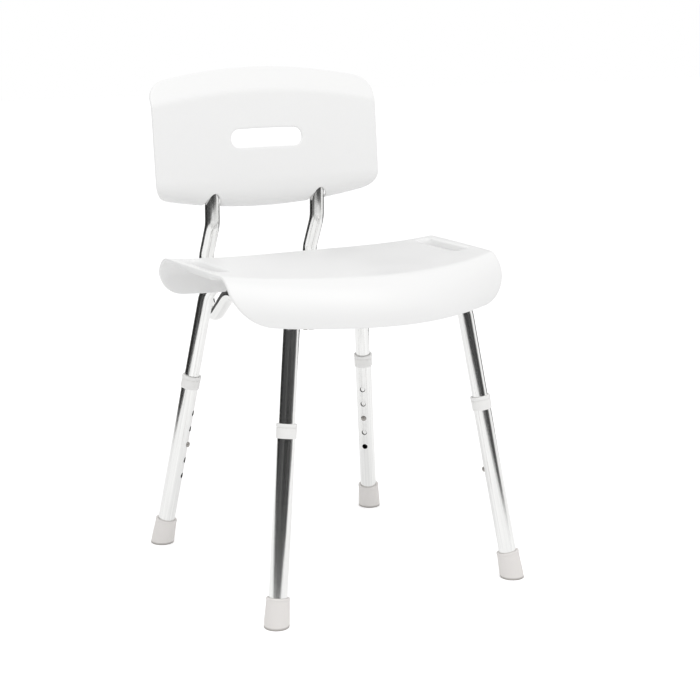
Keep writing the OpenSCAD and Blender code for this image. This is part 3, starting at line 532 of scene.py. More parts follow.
def hoop_path(side):
    height = hoop_height(side)
    low = HOOP_END * np.array([math.sin(LEAN), math.cos(LEAN)])
    reach = height * math.tan(LEAN)
    corners = [low, (reach, height), (HOOP_LEN - reach, height), (HOOP_LEN - low[0], low[1])]
    return np.array([[*hoop_point(side, s), z] for s, z in bent_path(corners, [HOOP_BEND] * 2)])


U_BEND, U_H, DIP = 25.0, 370.0, math.radians(41)
U_DROP = U_BEND * math.tan((math.pi / 2 + DIP) / 2)
DIP_Y = UPRIGHT_Y - (RAIL_H - U_H + U_DROP) / math.tan(DIP)
KINK_LOW, KINK_TOP, BACK_TUBE_TOP = 428.0, 478.0, 652.0
BACK_CORNERS = [(-RAIL_FRONT, RAIL_H), (DIP_Y, RAIL_H), (UPRIGHT_Y, U_H - U_DROP),
                (UPRIGHT_Y, KINK_LOW), (STEP_Y, KINK_TOP), (STEP_Y, LEAN_FROM),
                (leaning_tube_y(BACK_TUBE_TOP), BACK_TUBE_TOP)]
BACK_BENDS = [40.0, U_BEND, 40.0, 40.0, 60.0]


def back_tube_path(side):
    return np.array([[side * TUBE_X, y, z] for y, z in bent_path(BACK_CORNERS, BACK_BENDS)])

# %% Node helpers
def node_of(tree, kind, inputs=(), **settings):
    """A node with its settings, and with values on some of its inputs."""
    made = tree.nodes.new(kind)
    for key, value in settings.items():
        setattr(made, key, value)
    for key, value in dict(inputs).items():
        made.inputs[key].default_value = value
    return made


def wire(tree, *links):
    """links: (from node, its output, to node, its input)."""
    for start, output, end, entry in links:
        tree.links.new(start.outputs[output], end.inputs[entry])


def new_tree(name, result, **entries):
    """A geometry tree with named inputs; returned with the nodes at its two ends."""
    tree = bpy.data.node_groups.new(name, "GeometryNodeTree")
    for entry, kind in entries.items():
        tree.interface.new_socket(entry, in_out="INPUT", socket_type=f"NodeSocket{kind}")
    tree.interface.new_socket(result, in_out="OUTPUT", socket_type="NodeSocketGeometry")
    return tree, node_of(tree, "NodeGroupInput"), node_of(tree, "NodeGroupOutput")


def keep_value(tree, name, kind):
    return node_of(tree, "GeometryNodeStoreNamedAttribute", {"Name": name}, data_type=kind, domain="POINT")


def kept_value(tree, name, kind):
    return node_of(tree, "GeometryNodeInputNamedAttribute", {"Name": name}, data_type=kind)


def end_tree(tree, last, given, result):
    """Each tree ends in real geometry with its finish."""
    real, paint = node_of(tree, "GeometryNodeRealizeInstances"), node_of(tree, "GeometryNodeSetMaterial")
    wire(tree, (last, "Geometry", real, "Geometry"), (real, "Geometry", paint, "Geometry"),
         (given, "Finish", paint, "Material"), (paint, "Geometry", result, 0))
    return tree


def grow(piece, tree, **values):
    """Puts the tree on the piece, with its inputs set."""
    modifier = piece.modifiers.new(tree.name, "NODES")
    modifier.node_group = tree
    for item in tree.interface.items_tree:
        if item.in_out == "INPUT" and item.name in values:
            modifier[item.identifier] = values[item.name]


def plain_mesh(piece):
    """Turns the evaluated object into a plain mesh and drops its modifiers."""
    bpy.context.view_layer.update()
    seen = piece.evaluated_get(bpy.context.evaluated_depsgraph_get())
    mesh = bpy.data.meshes.new_from_object(seen)
    mesh.name = piece.name
    piece.modifiers.clear()
    piece.data = mesh
    tidy_mesh(mesh, CRISP)
    return piece

# %% The tube tree
def tube_tree():
    tree, given, result = new_tree("Tube_along_a_path", "Tube", Path="Geometry", Radius="Float",
                                   Wall="Float", Sides="Int", Finish="Material")
    curve, spline, ring, ring_place, sweep, turn_in, both = (
        node_of(tree, f"GeometryNode{kind}") for kind in (
            "MeshToCurve", "SplineParameter", "CurvePrimitiveCircle", "InputPosition",
            "CurveToMesh", "FlipFaces", "JoinGeometry"))
    keep_length, keep_ring = keep_value(tree, "length", "FLOAT"), keep_value(tree, "ring", "FLOAT_VECTOR")
    wall = node_of(tree, "GeometryNodeExtrudeMesh", {"Individual": False}, mode="FACES")
    inward = node_of(tree, "ShaderNodeMath", {1: -1.0}, operation="MULTIPLY")
    merge = node_of(tree, "GeometryNodeMergeByDistance", {"Distance": 1e-5})
    ring_back, length_back = kept_value(tree, "ring", "FLOAT_VECTOR"), kept_value(tree, "length", "FLOAT")
    split, pack = node_of(tree, "ShaderNodeSeparateXYZ"), node_of(tree, "ShaderNodeCombineXYZ")
    straight = keep_value(tree, "straight", "FLOAT_VECTOR")
    wire(tree, (given, "Path", curve, "Mesh"), (curve, "Curve", keep_length, "Geometry"),
         (spline, "Length", keep_length, "Value"), (given, "Sides", ring, "Resolution"),
         (given, "Radius", ring, "Radius"), (ring, "Curve", keep_ring, "Geometry"),
         (ring_place, "Position", keep_ring, "Value"), (keep_length, "Geometry", sweep, "Curve"),
         (keep_ring, "Geometry", sweep, "Profile Curve"), (sweep, "Mesh", wall, "Mesh"),
         (given, "Wall", inward, 0), (inward, 0, wall, "Offset Scale"),
         (sweep, "Mesh", both, "Geometry"), (wall, "Mesh", turn_in, "Mesh"),
         (turn_in, "Mesh", both, "Geometry"), (both, "Geometry", merge, "Geometry"),
         (ring_back, "Attribute", split, 0), (split, "X", pack, "X"), (split, "Y", pack, "Y"),
         (length_back, "Attribute", pack, "Z"), (merge, "Geometry", straight, "Geometry"),
         (pack, 0, straight, "Value"))
    return end_tree(tree, straight, given, result)


drawn_tube = tube_tree()
print(drawn_tube.name, "has", len(drawn_tube.nodes), "nodes")

# %% [markdown]
# ## Finishes
# Seven finishes cover the whole chair. The white plastic has a very fine grain and a soft gloss,
# and the seat, the panel and the small trim each have their own. The tubes are polished
# aluminium with faint drawing lines along their length. The cut edges of the height holes are a
# dark metal: raw cut metal, darkened further as painted shade for the shadow inside the holes.
# The fasteners and the spring buttons are a darker metal too. The feet are off-white rubber, a
# little greyer near the floor. Each pattern is laid out in the object's own coordinates, or along
# the unbent tube, so it stays in place when a leg slides.

# %% Material helpers
def new_material(name, colour, roughness, metallic=0.0):
    material = bpy.data.materials.new(name)
    material.use_nodes = True
    shader = material.node_tree.nodes["Principled BSDF"]
    for entry, value in (("Base Color", (*colour, 1)), ("Roughness", roughness), ("Metallic", metallic)):
        shader.inputs[entry].default_value = value
    return material, material.node_tree, shader


def own_place(tree):
    return node_of(tree, "ShaderNodeTexCoord").outputs["Object"]


def mapped_noise(tree, place, scale, detail, stretch=(1, 1, 1)):
    mapping = node_of(tree, "ShaderNodeMapping", {"Scale": stretch})
    noise = node_of(tree, "ShaderNodeTexNoise", {"Scale": scale, "Detail": detail})
    tree.links.new(place, mapping.inputs["Vector"])
    wire(tree, (mapping, "Vector", noise, "Vector"))
    return noise.outputs["Fac"]


def spread(tree, value, low, high, start=0.3, end=0.7):
    """Maps start..end of a pattern to low..high."""
    ramp = node_of(tree, "ShaderNodeMapRange",
                   {"From Min": start, "From Max": end, "To Min": low, "To Max": high})
    tree.links.new(value, ramp.inputs["Value"])
    return ramp.outputs["Result"]


def blend(tree, shader, factor, first, second):
    """Colours the shader from first to second by the factor."""
    tone = node_of(tree, "ShaderNodeMix", data_type="RGBA")
    tone.inputs["A"].default_value, tone.inputs["B"].default_value = (*first, 1), (*second, 1)
    tree.links.new(factor, tone.inputs["Factor"])
    wire(tree, (tone, "Result", shader, "Base Color"))


def bump(tree, shader, height, strength, distance):
    relief = node_of(tree, "ShaderNodeBump", {"Strength": strength, "Distance": distance})
    tree.links.new(height, relief.inputs["Height"])
    wire(tree, (relief, "Normal", shader, "Normal"))

# %% Plastic, metal and rubber
def plastic(name, colour, roughness, grain=0.12):
    material, tree, shader = new_material(name, colour, roughness)
    place = own_place(tree)
    fine = mapped_noise(tree, place, 900, 3)
    broad = mapped_noise(tree, place, 14, 2)
    tree.links.new(spread(tree, broad, roughness - 0.03, roughness + 0.04), shader.inputs["Roughness"])
    bump(tree, shader, fine, grain, 0.0002)
    return material


def polished(name, colour, roughness, drawn=False):
    """drawn: fine lines along the tube, laid out on its unbent form."""
    material, tree, shader = new_material(name, colour, roughness, 1.0)
    if drawn:
        place = node_of(tree, "ShaderNodeAttribute", attribute_name="straight").outputs["Vector"]
    else:
        place = own_place(tree)
    stretch = (1, 1, 0.012 if drawn else 1)
    lines = mapped_noise(tree, place, 420, 3, stretch)
    wide = mapped_noise(tree, place, 190, 2, stretch)
    tree.links.new(spread(tree, wide, roughness - 0.03, roughness + 0.08), shader.inputs["Roughness"])
    blend(tree, shader, spread(tree, lines, 0, 1), [0.86 * c for c in colour], colour)
    bump(tree, shader, lines, 0.45, 0.0003)
    return material


def floor_rubber(name, colour, floor_edge_colour, roughness):
    """Turns to a darker colour in the last millimetres above the floor."""
    material, tree, shader = new_material(name, colour, roughness)
    place = own_place(tree)
    parts = node_of(tree, "ShaderNodeSeparateXYZ")
    tree.links.new(place, parts.inputs[0])
    blend(tree, shader, spread(tree, parts.outputs["Z"], 0, 1, 0.0005, 0.004), floor_edge_colour, colour)
    bump(tree, shader, mapped_noise(tree, place, 700, 3), 0.2, 0.0002)
    return material

# %% The seven finishes
seat_white = plastic("satin_white_seat", (0.90, 0.90, 0.897), 0.36)
back_white = plastic("satin_white_back", (0.90, 0.90, 0.897), 0.36)
trim_white = plastic("satin_white_trim", (0.885, 0.88, 0.868), 0.36, 0.06)
aluminium = polished("polished_aluminium", (0.945, 0.945, 0.935), 0.12, drawn=True)
steel = polished("dark_steel", (0.42, 0.40, 0.38), 0.26)
# Dark metal for the hole walls and cut edges: raw cut metal, darkened further as painted shade for the
# shadow inside the holes.
cut_metal = polished("cut_metal", (0.20, 0.195, 0.19), 0.5)
rubber = floor_rubber("pale_rubber", (0.80, 0.775, 0.755), (0.30, 0.28, 0.26), 0.55)
print("finishes", [m.name for m in bpy.data.materials])

# %% [markdown]
# ## Make the bent tubes
# The tree now gets its paths. The hoops and the back tubes are drilled for the spring buttons
# and the bolts. A boolean is good enough for these holes, since a bolt head or a leg tube covers
# each of them.

# %% Drill and sweep
def drill(start, end, radius, sides=32):
    """A round cutter between two points."""
    start, end = np.array(start, float), np.array(end, float)
    axis = (end - start) / np.linalg.norm(end - start)
    side = np.cross(axis, [1, 0, 0] if abs(axis[0]) < 0.8 else [0, 1, 0])
    side /= np.linalg.norm(side)
    other = np.cross(axis, side)
    ring = np.linspace(0, 2 * math.pi, sides, endpoint=False)
    circle = radius * (np.outer(np.cos(ring), side) + np.outer(np.sin(ring), other))
    faces = [(k, (k + 1) % sides, sides + (k + 1) % sides, sides + k) for k in range(sides)]
    faces += [list(range(sides))[::-1], [sides + k for k in range(sides)]]
    return make_object("cutter", np.vstack([start + circle, end + circle]), faces, quiet=True)


def swept_tube(name, path, cutters):
    steps = [(k, k + 1) for k in range(len(path) - 1)]
    piece = show(name, new_mesh(name, path, edges=steps))
    grow(piece, drawn_tube, Radius=TUBE_R * MM, Wall=TUBE_WALL * MM, Sides=72, Finish=aluminium)
    cutter = join(name + "_holes", cutters)
    cut = piece.modifiers.new("Holes", "BOOLEAN")
    cut.object, cut.operation, cut.solver = cutter, "DIFFERENCE", "EXACT"
    plain_mesh(piece)
    bpy.data.objects.remove(cutter)
    return piece


def leg_matrix(front, left):
    """From a leg's own frame, in mm: z up the leg, x inward."""
    x = (-1 if left else 1) * (FRONT_W if front else REAR_W) / 2
    y = (-1 if front else 1) * FEET_DEPTH / 2
    turn = (0 if left else math.pi) + (1 if front == left else -1) * HOOP_DIR
    stand = Matrix.Translation((x, y, 0)) @ Matrix.Rotation(turn, 4, "Z")
    return np.array(stand @ Matrix.Rotation(LEAN, 4, "Y"))


def carry(matrix, points):
    return np.asarray(points, float) @ matrix[:3, :3].T + matrix[:3, 3]

# %% The hoops and the back tubes
FRONT_SCREW, REAR_SCREW, BACK_SCREWS = 125.0, 184.0, (572.0, 634.0)
CROSS_S = HOOP_LEN * FRONT_W / (FRONT_W + REAR_W)
RAIL_S = ((FRONT_W / 2 - TUBE_X) / math.cos(HOOP_DIR),
          HOOP_LEN - (REAR_W / 2 - TUBE_X) / math.cos(HOOP_DIR))
SCREWS = (FRONT_SCREW, HOOP_LEN - REAR_SCREW)
BOLT_R, SCREW_R, SLEEVE_R, HOLE_PLAY, DRILL_REACH = 3.0, 2.1, 4.5, 0.25, 15
lean_axis = np.array([0, -math.cos(BACK_LEAN), math.sin(BACK_LEAN)])

tubes = {}
for side, word in SIDES:
    h = hoop_height(side)
    holes = [(CROSS_S, h + DRILL_REACH, BOLT_R + HOLE_PLAY)]
    holes += [(s, h + DRILL_REACH, SCREW_R + HOLE_PLAY) for s in SCREWS]
    holes += [(s, h, SLEEVE_R) for s in RAIL_S]
    cutters = []
    for s, top, radius in holes:
        x, y = hoop_point(side, s)
        cutters.append(drill((x, y, h - DRILL_REACH), (x, y, top), radius))
    for front, left in ((True, side < 0), (False, side > 0)):
        ends = carry(leg_matrix(front, left), [[0, 0, BUTTON_AT], [DRILL_REACH, 0, BUTTON_AT]])
        cutters.append(drill(*ends, HOLE_R))
    name = f"hoop_front_{word}"
    tubes[name] = swept_tube(f"{name}_tube", hoop_path(side), cutters)

for side, word in SIDES:
    x, cutters = side * TUBE_X, []
    for y in [hoop_point(-1, s)[1] for s in RAIL_S]:
        cutters.append(drill((x, y, RAIL_H - DRILL_REACH), (x, y, RAIL_H + DRILL_REACH), BOLT_R + HOLE_PLAY))
    for z in BACK_SCREWS:
        middle, reach = np.array([x, leaning_tube_y(z), z]), DRILL_REACH * lean_axis
        cutters.append(drill(middle - reach, middle + reach, SCREW_R + HOLE_PLAY))
    name = f"back_tube_{word}"
    tubes[name] = swept_tube(f"{name}_tube", back_tube_path(side), cutters)

# %% [markdown]
# ## The lower leg tubes
# Each lower leg has five round holes on its inner side, and they show. So these tubes are made
# with the shell builder: the tube's wall is unrolled into a strip as wide as its circumference,
# the holes are drawn in it, and the strip is rolled up again. Each hole gets a fine chamfer that
# catches the light.

# %% Lower legs
LEG_LOW, LEG_TOP = FOOT_SOLE, COLLAR_AT + COLLAR_H - COLLAR_LIP
LEG_WALL, LEG_SPAN = LEG_R - TUBE_R - LEG_CLEAR, 2 * math.pi * LEG_R
CHAMFER, INNER_CHAMFER, KEEP_OFF = 0.3, 0.15, 0.8


def leg_net():
    ring = np.linspace(0, 2 * math.pi, 40, endpoint=False)
    across = LEG_R * np.arcsin(HOLE_R * np.cos(ring) / LEG_R)
    rows = rounded_rows(CHAMFER, INNER_CHAMFER, LEG_WALL)
    edges = []
    for k in range(-2, 3):
        hole = np.c_[across, BUTTON_AT + k * HOLE_PITCH + HOLE_R * np.sin(ring)]
        edges.append((turned_way(hole, False), rows, True))
    ends = [LEG_LOW + CHAMFER * r for r in RING_STEPS] + [LEG_TOP - CHAMFER * r for r in RING_STEPS]
    along = np.array(sorted(ends + np.linspace(LEG_LOW + 1.5, LEG_TOP - 1.5, 130).tolist()))
    border = grid(np.linspace(-LEG_SPAN / 2, LEG_SPAN / 2, 61), along)
    for loop, _, _ in edges:
        border = border[~inside(border, loop) & (nearest(border, inset(loop, CHAMFER)) > KEEP_OFF)]
    near_end = np.minimum(border[:, 1] - LEG_LOW, LEG_TOP - border[:, 1])
    drop = edge_drop(near_end, CHAMFER)
    depths = np.c_[drop, LEG_WALL - drop, near_end < 0.9 * CHAMFER]
    return fill_outline(edges, np.zeros((0, 2)), LEG_WALL, KEEP_OFF, (border, depths))


def rolled(flat, depth=0.0):
    """The strip rolled up round the leg's own axis."""
    angle, radius = flat[:, 0] / LEG_R, LEG_R - depth
    return np.c_[radius * np.cos(angle), radius * np.sin(angle), flat[:, 1]]


LEGS = {f"{'front' if front else 'rear'}_{'left' if left else 'right'}": leg_matrix(front, left)
        for front in (True, False) for left in (True, False)}
net, leg_tubes = leg_net(), {}
for key, matrix in LEGS.items():
    def stand(flat, depth):
        return carry(matrix, rolled(flat, depth))

    leg = shell(f"leg_tube_{key}_surface", net, stand, TURNED_CRISP, LEG_SPAN / 2, rolled)
    leg.data.materials.append(aluminium)
    # The second finish is the dark cut metal with painted shade for the hole walls and cut edges.
    leg.data.materials.append(cut_metal)
    leg_tubes[key] = leg

# %% [markdown]
# ## Turned parts
# The collars, feet, plugs and buttons are round, so each is a profile turned about an axis. A
# profile is a list of corners with a radius for each, because a moulded or turned edge is never
# knife-sharp. The feet need one thing more: their soles lie flat on the floor although the legs
# lean, so the lowest corners follow the floor instead of the axis.

# %% The lathe
def rounded_profile(corners, steps=5):
    """corners: (radius, height, corner radius, bend). Returns the points and their bends."""
    points = [np.array(c[:2], float) for c in corners]
    ring, bends = [], []
    for k, here in enumerate(points):
        into, away = here - points[k - 1], points[(k + 1) % len(points)] - here
        room = min(np.hypot(*into), np.hypot(*away)) * 0.45
        into, away = into / np.hypot(*into), away / np.hypot(*away)
        turn = math.acos(max(-1, min(1, into @ away)))
        cut = min(corners[k][2] * math.tan(turn / 2), room)
        count = steps if corners[k][2] > 0 and turn > 0.05 else 0
        for j in range(count + 1):
            t = j / count if count else 0.5
            start, end = (here - cut * into, here + cut * away) if count else (here, here)
            ring.append((1 - t) ** 2 * start + 2 * t * (1 - t) * here + t * t * end)
            bends.append(corners[k][3] if len(corners[k]) > 3 else None)
    return np.array(ring), bends


def turned(name, corners, matrix, finish=None, sides=72):
    ring, bends = rounded_profile(corners)
    angle = np.linspace(0, 2 * math.pi, sides, endpoint=False)
    points = np.stack([np.outer(np.cos(angle), ring[:, 0]), np.outer(np.sin(angle), ring[:, 0]),
                       np.broadcast_to(ring[:, 1], (sides, len(ring)))], -1)
    for j, bend in enumerate(bends):
        if bend:
            points[:, j] = bend(*points[:, j].T)
    count, faces = len(ring), []
    for k in range(sides):
        n = (k + 1) % sides
        for j in range(count):
            i = (j + 1) % count
            if ring[j, 0] > 1e-9 or ring[i, 0] > 1e-9:
                faces.append((k * count + j, n * count + j, n * count + i, k * count + i))
    piece = make_object(name, carry(np.array(matrix), points.reshape(-1, 3)), faces, TURNED_CRISP)
    if finish:
        piece.data.materials.append(finish)
    return piece


def dome_corners(radius, rise, base, steps=7):
    ball = (radius ** 2 + rise ** 2) / (2 * rise)
    turns = [math.asin(radius / ball) * (1 - k / steps) for k in range(1, steps + 1)]
    return [(ball * math.sin(a), base + rise - ball + ball * math.cos(a), 0) for a in turns]

# %% Collars and feet
def to_floor(x, y, z):
    return np.c_[x, y, z + x * math.tan(LEAN)]


COLLAR_R, RIM_R, RIM_H, GROOVE_H, GROOVE_IN, FOOT_RIM = 13.8, 14.2, 4.5, 1.2, 0.6, 0.5
collar_top = COLLAR_AT + COLLAR_H
rim_at, lip_at = collar_top - RIM_H, collar_top - COLLAR_LIP + FIT
groove_r, rim_r, leg_fit = COLLAR_R - GROOVE_IN, FOOT_TOP_R + FOOT_RIM, LEG_R + FIT
collar_corners = [
    (leg_fit, COLLAR_AT, 0.3), (COLLAR_R, COLLAR_AT, 0.9), (COLLAR_R, rim_at - GROOVE_H, 0.35),
    (groove_r, rim_at - GROOVE_H, 0.25), (groove_r, rim_at, 0.25), (RIM_R, rim_at, 0.4),
    (RIM_R, collar_top, 1.1), (TUBE_R + LEG_CLEAR, collar_top, 0.4),
    (TUBE_R + LEG_CLEAR, lip_at, 0.2), (leg_fit, lip_at, 0.2)]
foot_corners = [
    (0.0, 0.0, 0, to_floor), (FOOT_R, 0.0, 1.1, to_floor), (FOOT_R, 9.0, 2.0),
    (FOOT_TOP_R, FOOT_H - 3.0, 0.3), (rim_r, FOOT_H - 2.5, 0.4), (rim_r, FOOT_H, 1.3),
    (leg_fit, FOOT_H, 0.5), (leg_fit, FOOT_SOLE - FIT, 0.3), (0.0, FOOT_SOLE - FIT, 0)]
collars, feet = {}, {}
for key, matrix in LEGS.items():
    collars[key] = turned(f"collar_{key}_surface", collar_corners, matrix, trim_white)
    feet[key] = turned(f"foot_{key}_surface", foot_corners, matrix, rubber)

# %% Spring buttons and plugs
BUTTON_R, PROUD, DOME, FLANGE_R, FLANGE_H = 3.75, 3.0, 1.2, 5.05, 1.0
PLUG_CAP, PLUG_DOME, PLUG_DEPTH = 2.0, 1.6, 8.0
TUBE_IN_R = TUBE_R - TUBE_WALL
flange_out = math.sqrt(TUBE_IN_R ** 2 - FLANGE_R ** 2) - FIT
dome_at = LEG_R + PROUD - DOME
button_corners = [
    (0.0, flange_out - FLANGE_H, 0), (FLANGE_R, flange_out - FLANGE_H, 0.2), (FLANGE_R, flange_out, 0.2),
    (BUTTON_R, flange_out, 0.2), (BUTTON_R, dome_at - 0.4, 0), *dome_corners(BUTTON_R, DOME, dome_at)]
in_hole = np.array(Matrix.Translation((0, 0, BUTTON_AT)) @ Matrix.Rotation(math.pi / 2, 4, "Y"))
buttons = {key: turned(f"snap_button_{key}_surface", button_corners, matrix @ in_hole, steel, 48)
           for key, matrix in LEGS.items()}

plug_r = TUBE_IN_R - FIT
plug_corners = [(0.0, -PLUG_DEPTH, 0), (plug_r, -PLUG_DEPTH, 0.5), (plug_r, 0.0, 0.1), (TUBE_R, 0.0, 0.3),
                (TUBE_R, PLUG_CAP, 0.5), *dome_corners(TUBE_R, PLUG_DOME, PLUG_CAP)]
plugs = {}
for side, word in SIDES:
    for name, place, turn in (
            (f"top_plug_{word}", (side * TUBE_X, leaning_tube_y(BACK_TUBE_TOP), BACK_TUBE_TOP), -BACK_LEAN),
            (f"rail_plug_{word}", (side * TUBE_X, -RAIL_FRONT, RAIL_H), math.pi / 2)):
        matrix = Matrix.Translation(place) @ Matrix.Rotation(turn, 4, "X")
        plugs[name] = turned(f"{name}_surface", plug_corners, matrix, trim_white)

# %% [markdown]
# ## Bosses and spacers
# Some turned parts sit on a tube, so their ends are saddles: the end's height at each point follows
# the round of the tube below or above. Four bosses under the seat and four behind the panel take
# the screws. White spacers keep the two hoops apart and carry the rails under them.

# %% Parts with saddle ends
BOSS_R, BOSS_SPREAD, SPACER_R = 7.0, 1.8, 8.0


def saddle(way, up=1):
    """Bends an end to the round of the tube below it, or above it where up is -1."""
    def bend(x, y, z):
        off = -x * math.sin(way) + y * math.cos(way)
        return np.c_[x, y, z + up * np.sqrt((TUBE_R + FIT) ** 2 - off ** 2)]
    return bend


def boss(matrix, way, length, skin):
    low, r, wide, bore, neck = saddle(way), BOSS_R, BOSS_R + BOSS_SPREAD, SCREW_R + 0.1, length - skin
    corners = [(bore, 0, 0.2, low), (r, 0, 0.4, low), (r, neck - BOSS_SPREAD, 1.2), (wide, neck + 0.1, 0),
               (wide, length, 0), (0, length, 0), (0, length - 0.6, 0), (bore, length - 0.6, 0)]
    return turned("boss", corners, matrix, None, 48)


def spacer(matrix, low_way, length, high_way):
    low, high, r, bore = saddle(low_way), saddle(high_way, -1), SPACER_R, BOLT_R + HOLE_PLAY
    corners = [(bore, 0, 0.2, low), (r, 0, 0.4, low), (r, length, 0.4, high), (bore, length, 0.2, high)]
    return turned("spacer", corners, matrix, trim_white, 64)


def on_hoop(side, s, height):
    return Matrix.Translation((*hoop_point(side, s), height))


def at_back_tube(side, z, out=0.0):
    spot = np.array([side * TUBE_X, leaning_tube_y(z), z]) + out * lean_axis
    leaning = Matrix.Translation(spot) @ Matrix.Rotation(-BACK_LEAN, 4, "X")
    return leaning @ Matrix.Rotation(math.pi / 2, 4, "X")

# %% Place the bosses and the spacers
seat_bosses, back_bosses = [], []
seat_skin, back_skin = SEAT_WALL / 2, BACK_WALL / 2
for side, _ in SIDES:
    h = hoop_height(side)
    seat_bosses += [boss(on_hoop(side, s, h), hoop_turn(side), SEAT_TOP - seat_skin - h, seat_skin)
                    for s in SCREWS]
    back_bosses += [boss(at_back_tube(side, z), math.pi / 2, TUBE_R + PANEL_GAP + back_skin, back_skin)
                    for z in BACK_SCREWS]
seat = join("seat_surface", [seat, *seat_bosses])
back = join("back_surface", [back, *back_bosses])
for piece, finish in ((seat, seat_white), (back, back_white)):
    piece.data.polygons.foreach_set("material_index", np.zeros(len(piece.data.polygons), np.int32))
    piece.data.materials.clear()
    piece.data.materials.append(finish)

cross_spacer = spacer(on_hoop(1, CROSS_S, LOW_HOOP), hoop_turn(1), HIGH_HOOP - LOW_HOOP, hoop_turn(-1))
cross_spacer.name = "cross_spacer_surface"
rail_spacers = {}
for side, word in ((1, "short"), (-1, "long")):
    pair = [spacer(on_hoop(side, s, RAIL_H), math.pi / 2, hoop_height(side) - RAIL_H, hoop_turn(side))
            for s in RAIL_S]
    rail_spacers[f"rail_spacers_{word}"] = join(f"rail_spacers_{word}_surface", pair)

# %% [markdown]
# ## Bolts and screws
# The same fastener comes back many times, so Geometry Nodes places it. Each point of a small mesh
# is one fastener and carries the direction and the length of its shank. The tree puts a turned
# head and a shank on every point, stretches the shank to the length and makes the result one
# real mesh.

# %% The fastener tree
def fastener_tree():
    tree, given, result = new_tree("Fasteners_on_points", "Fasteners", Points="Geometry", Head="Object",
                                   Shank="Object", Finish="Material")
    axis, length = kept_value(tree, "axis", "FLOAT_VECTOR"), kept_value(tree, "length", "FLOAT")
    aim = node_of(tree, "FunctionNodeAlignRotationToVector", axis="Z")
    size = node_of(tree, "ShaderNodeCombineXYZ", {"X": 1.0, "Y": 1.0})
    both = node_of(tree, "GeometryNodeJoinGeometry")
    wire(tree, (axis, "Attribute", aim, "Vector"), (length, "Attribute", size, "Z"))
    for word in ("Head", "Shank"):
        shape = node_of(tree, "GeometryNodeObjectInfo")
        spots = node_of(tree, "GeometryNodeInstanceOnPoints")
        wire(tree, (given, word, shape, "Object"), (given, "Points", spots, "Points"),
             (shape, "Geometry", spots, "Instance"), (aim, "Rotation", spots, "Rotation"),
             (spots, "Instances", both, "Geometry"))
    wire(tree, (size, "Vector", spots, "Scale"))
    return end_tree(tree, both, given, result)


fasteners = fastener_tree()
print(fasteners.name, "has", len(fasteners.nodes), "nodes")

# %% Turn the fasteners
def six_sided(x, y, z):
    turn = np.arctan2(y, x) % (math.pi / 3) - math.pi / 6
    return np.c_[x / np.cos(turn), y / np.cos(turn), z]


def head_and_shank(radius, rise, shank_r):
    """A domed head with a six-sided socket, and a shank 1 mm long that the tree stretches."""
    ball = (radius ** 2 + rise ** 2) / (2 * rise)
    socket, deep = 0.5 * shank_r, -0.4 * rise
    widest, least = math.asin(radius / ball), math.asin(1.16 * socket / ball)
    dome = [(ball * math.sin(a), ball - rise - ball * math.cos(a), 0) for a in np.linspace(widest, least, 8)]
    head = [(0, 0, 0), (radius, 0, 0.25), *dome[1:], (socket, -rise + 0.1, 0, six_sided),
            (socket, deep, 0, six_sided), (0, deep, 0)]
    shank = [(0, -0.02, 0), (shank_r, -0.02, 0), (shank_r, 0.96, 0), (shank_r - 0.5, 1, 0), (0, 1, 0)]
    home = Matrix.Translation(-SHIFT)
    return turned("head", head, home, None, 48), turned("shank", shank, home, None, 32)


def fasten(name, spots, radius, rise, shank_r):
    """spots: (place under the head, direction of the shank, length)."""
    places, axes, lengths = zip(*spots)
    mesh = new_mesh(name, places)
    for word, kind, entry, values in (("axis", "FLOAT_VECTOR", "vector", axes),
                                      ("length", "FLOAT", "value", lengths)):
        layer = mesh.attributes.new(word, kind, "POINT")
        layer.data.foreach_set(entry, np.ravel(values).astype(float).tolist())
    piece = show(name, mesh)
    templates = head_and_shank(radius, rise, shank_r)
    grow(piece, fasteners, Head=templates[0], Shank=templates[1], Finish=steel)
    plain_mesh(piece)
    for template in templates:
        bpy.data.objects.remove(template)
    return piece

# %% Place the bolts and the screws
WASHER, NUT_H, BOLT_END, RIVET_H = 0.05, 5.0, 2, 11.0
SKIN, SHORT_BY, HEAD_H, BOLT_HEAD_R, SCREW_HEAD_R = 2.5, 0.5, 2.8, 6.0, 4.3
up, down, under = (0, 0, 1), (0, 0, -1), TUBE_R + WASHER
bolts = [((*hoop_point(1, CROSS_S), HIGH_HOOP + TUBE_R + WASHER), down,
          HIGH_HOOP - LOW_HOOP + 2 * TUBE_R + NUT_H + BOLT_END)]
screws = []
for side, _ in SIDES:
    h = hoop_height(side)
    bolts += [((*hoop_point(side, s), RAIL_H - TUBE_R - WASHER), up, h - RAIL_H + RIVET_H) for s in RAIL_S]
    screws += [((*hoop_point(side, s), h - TUBE_R - WASHER), up,
                under + SEAT_TOP - SKIN - SHORT_BY - HIGH_HOOP) for s in SCREWS]
reach = 2 * TUBE_R + PANEL_GAP + BACK_WALL / 2 - SHORT_BY
for side, _ in SIDES:
    screws += [(np.array(at_back_tube(side, z, -under).translation), lean_axis, reach)
               for z in BACK_SCREWS]
frame_bolts = fasten("frame_bolts_surface", bolts, BOLT_HEAD_R, HEAD_H, BOLT_R)
panel_screws = fasten("panel_screws_surface", screws, SCREW_HEAD_R, HEAD_H, SCREW_R)

# %% [markdown]
# ## Ride the bodies
# Each finished surface stands for its engineering node and moves with that node's body: the
# lower legs slide with their collars and feet, and the spring buttons press in. The nut, the
# threaded sleeves and the leaf springs keep the engineering shape and only get a finish.

# %% Hand the pieces over
def finish_piece(piece, body, slot, *stands_for):
    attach(piece, body)
    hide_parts(*stands_for)


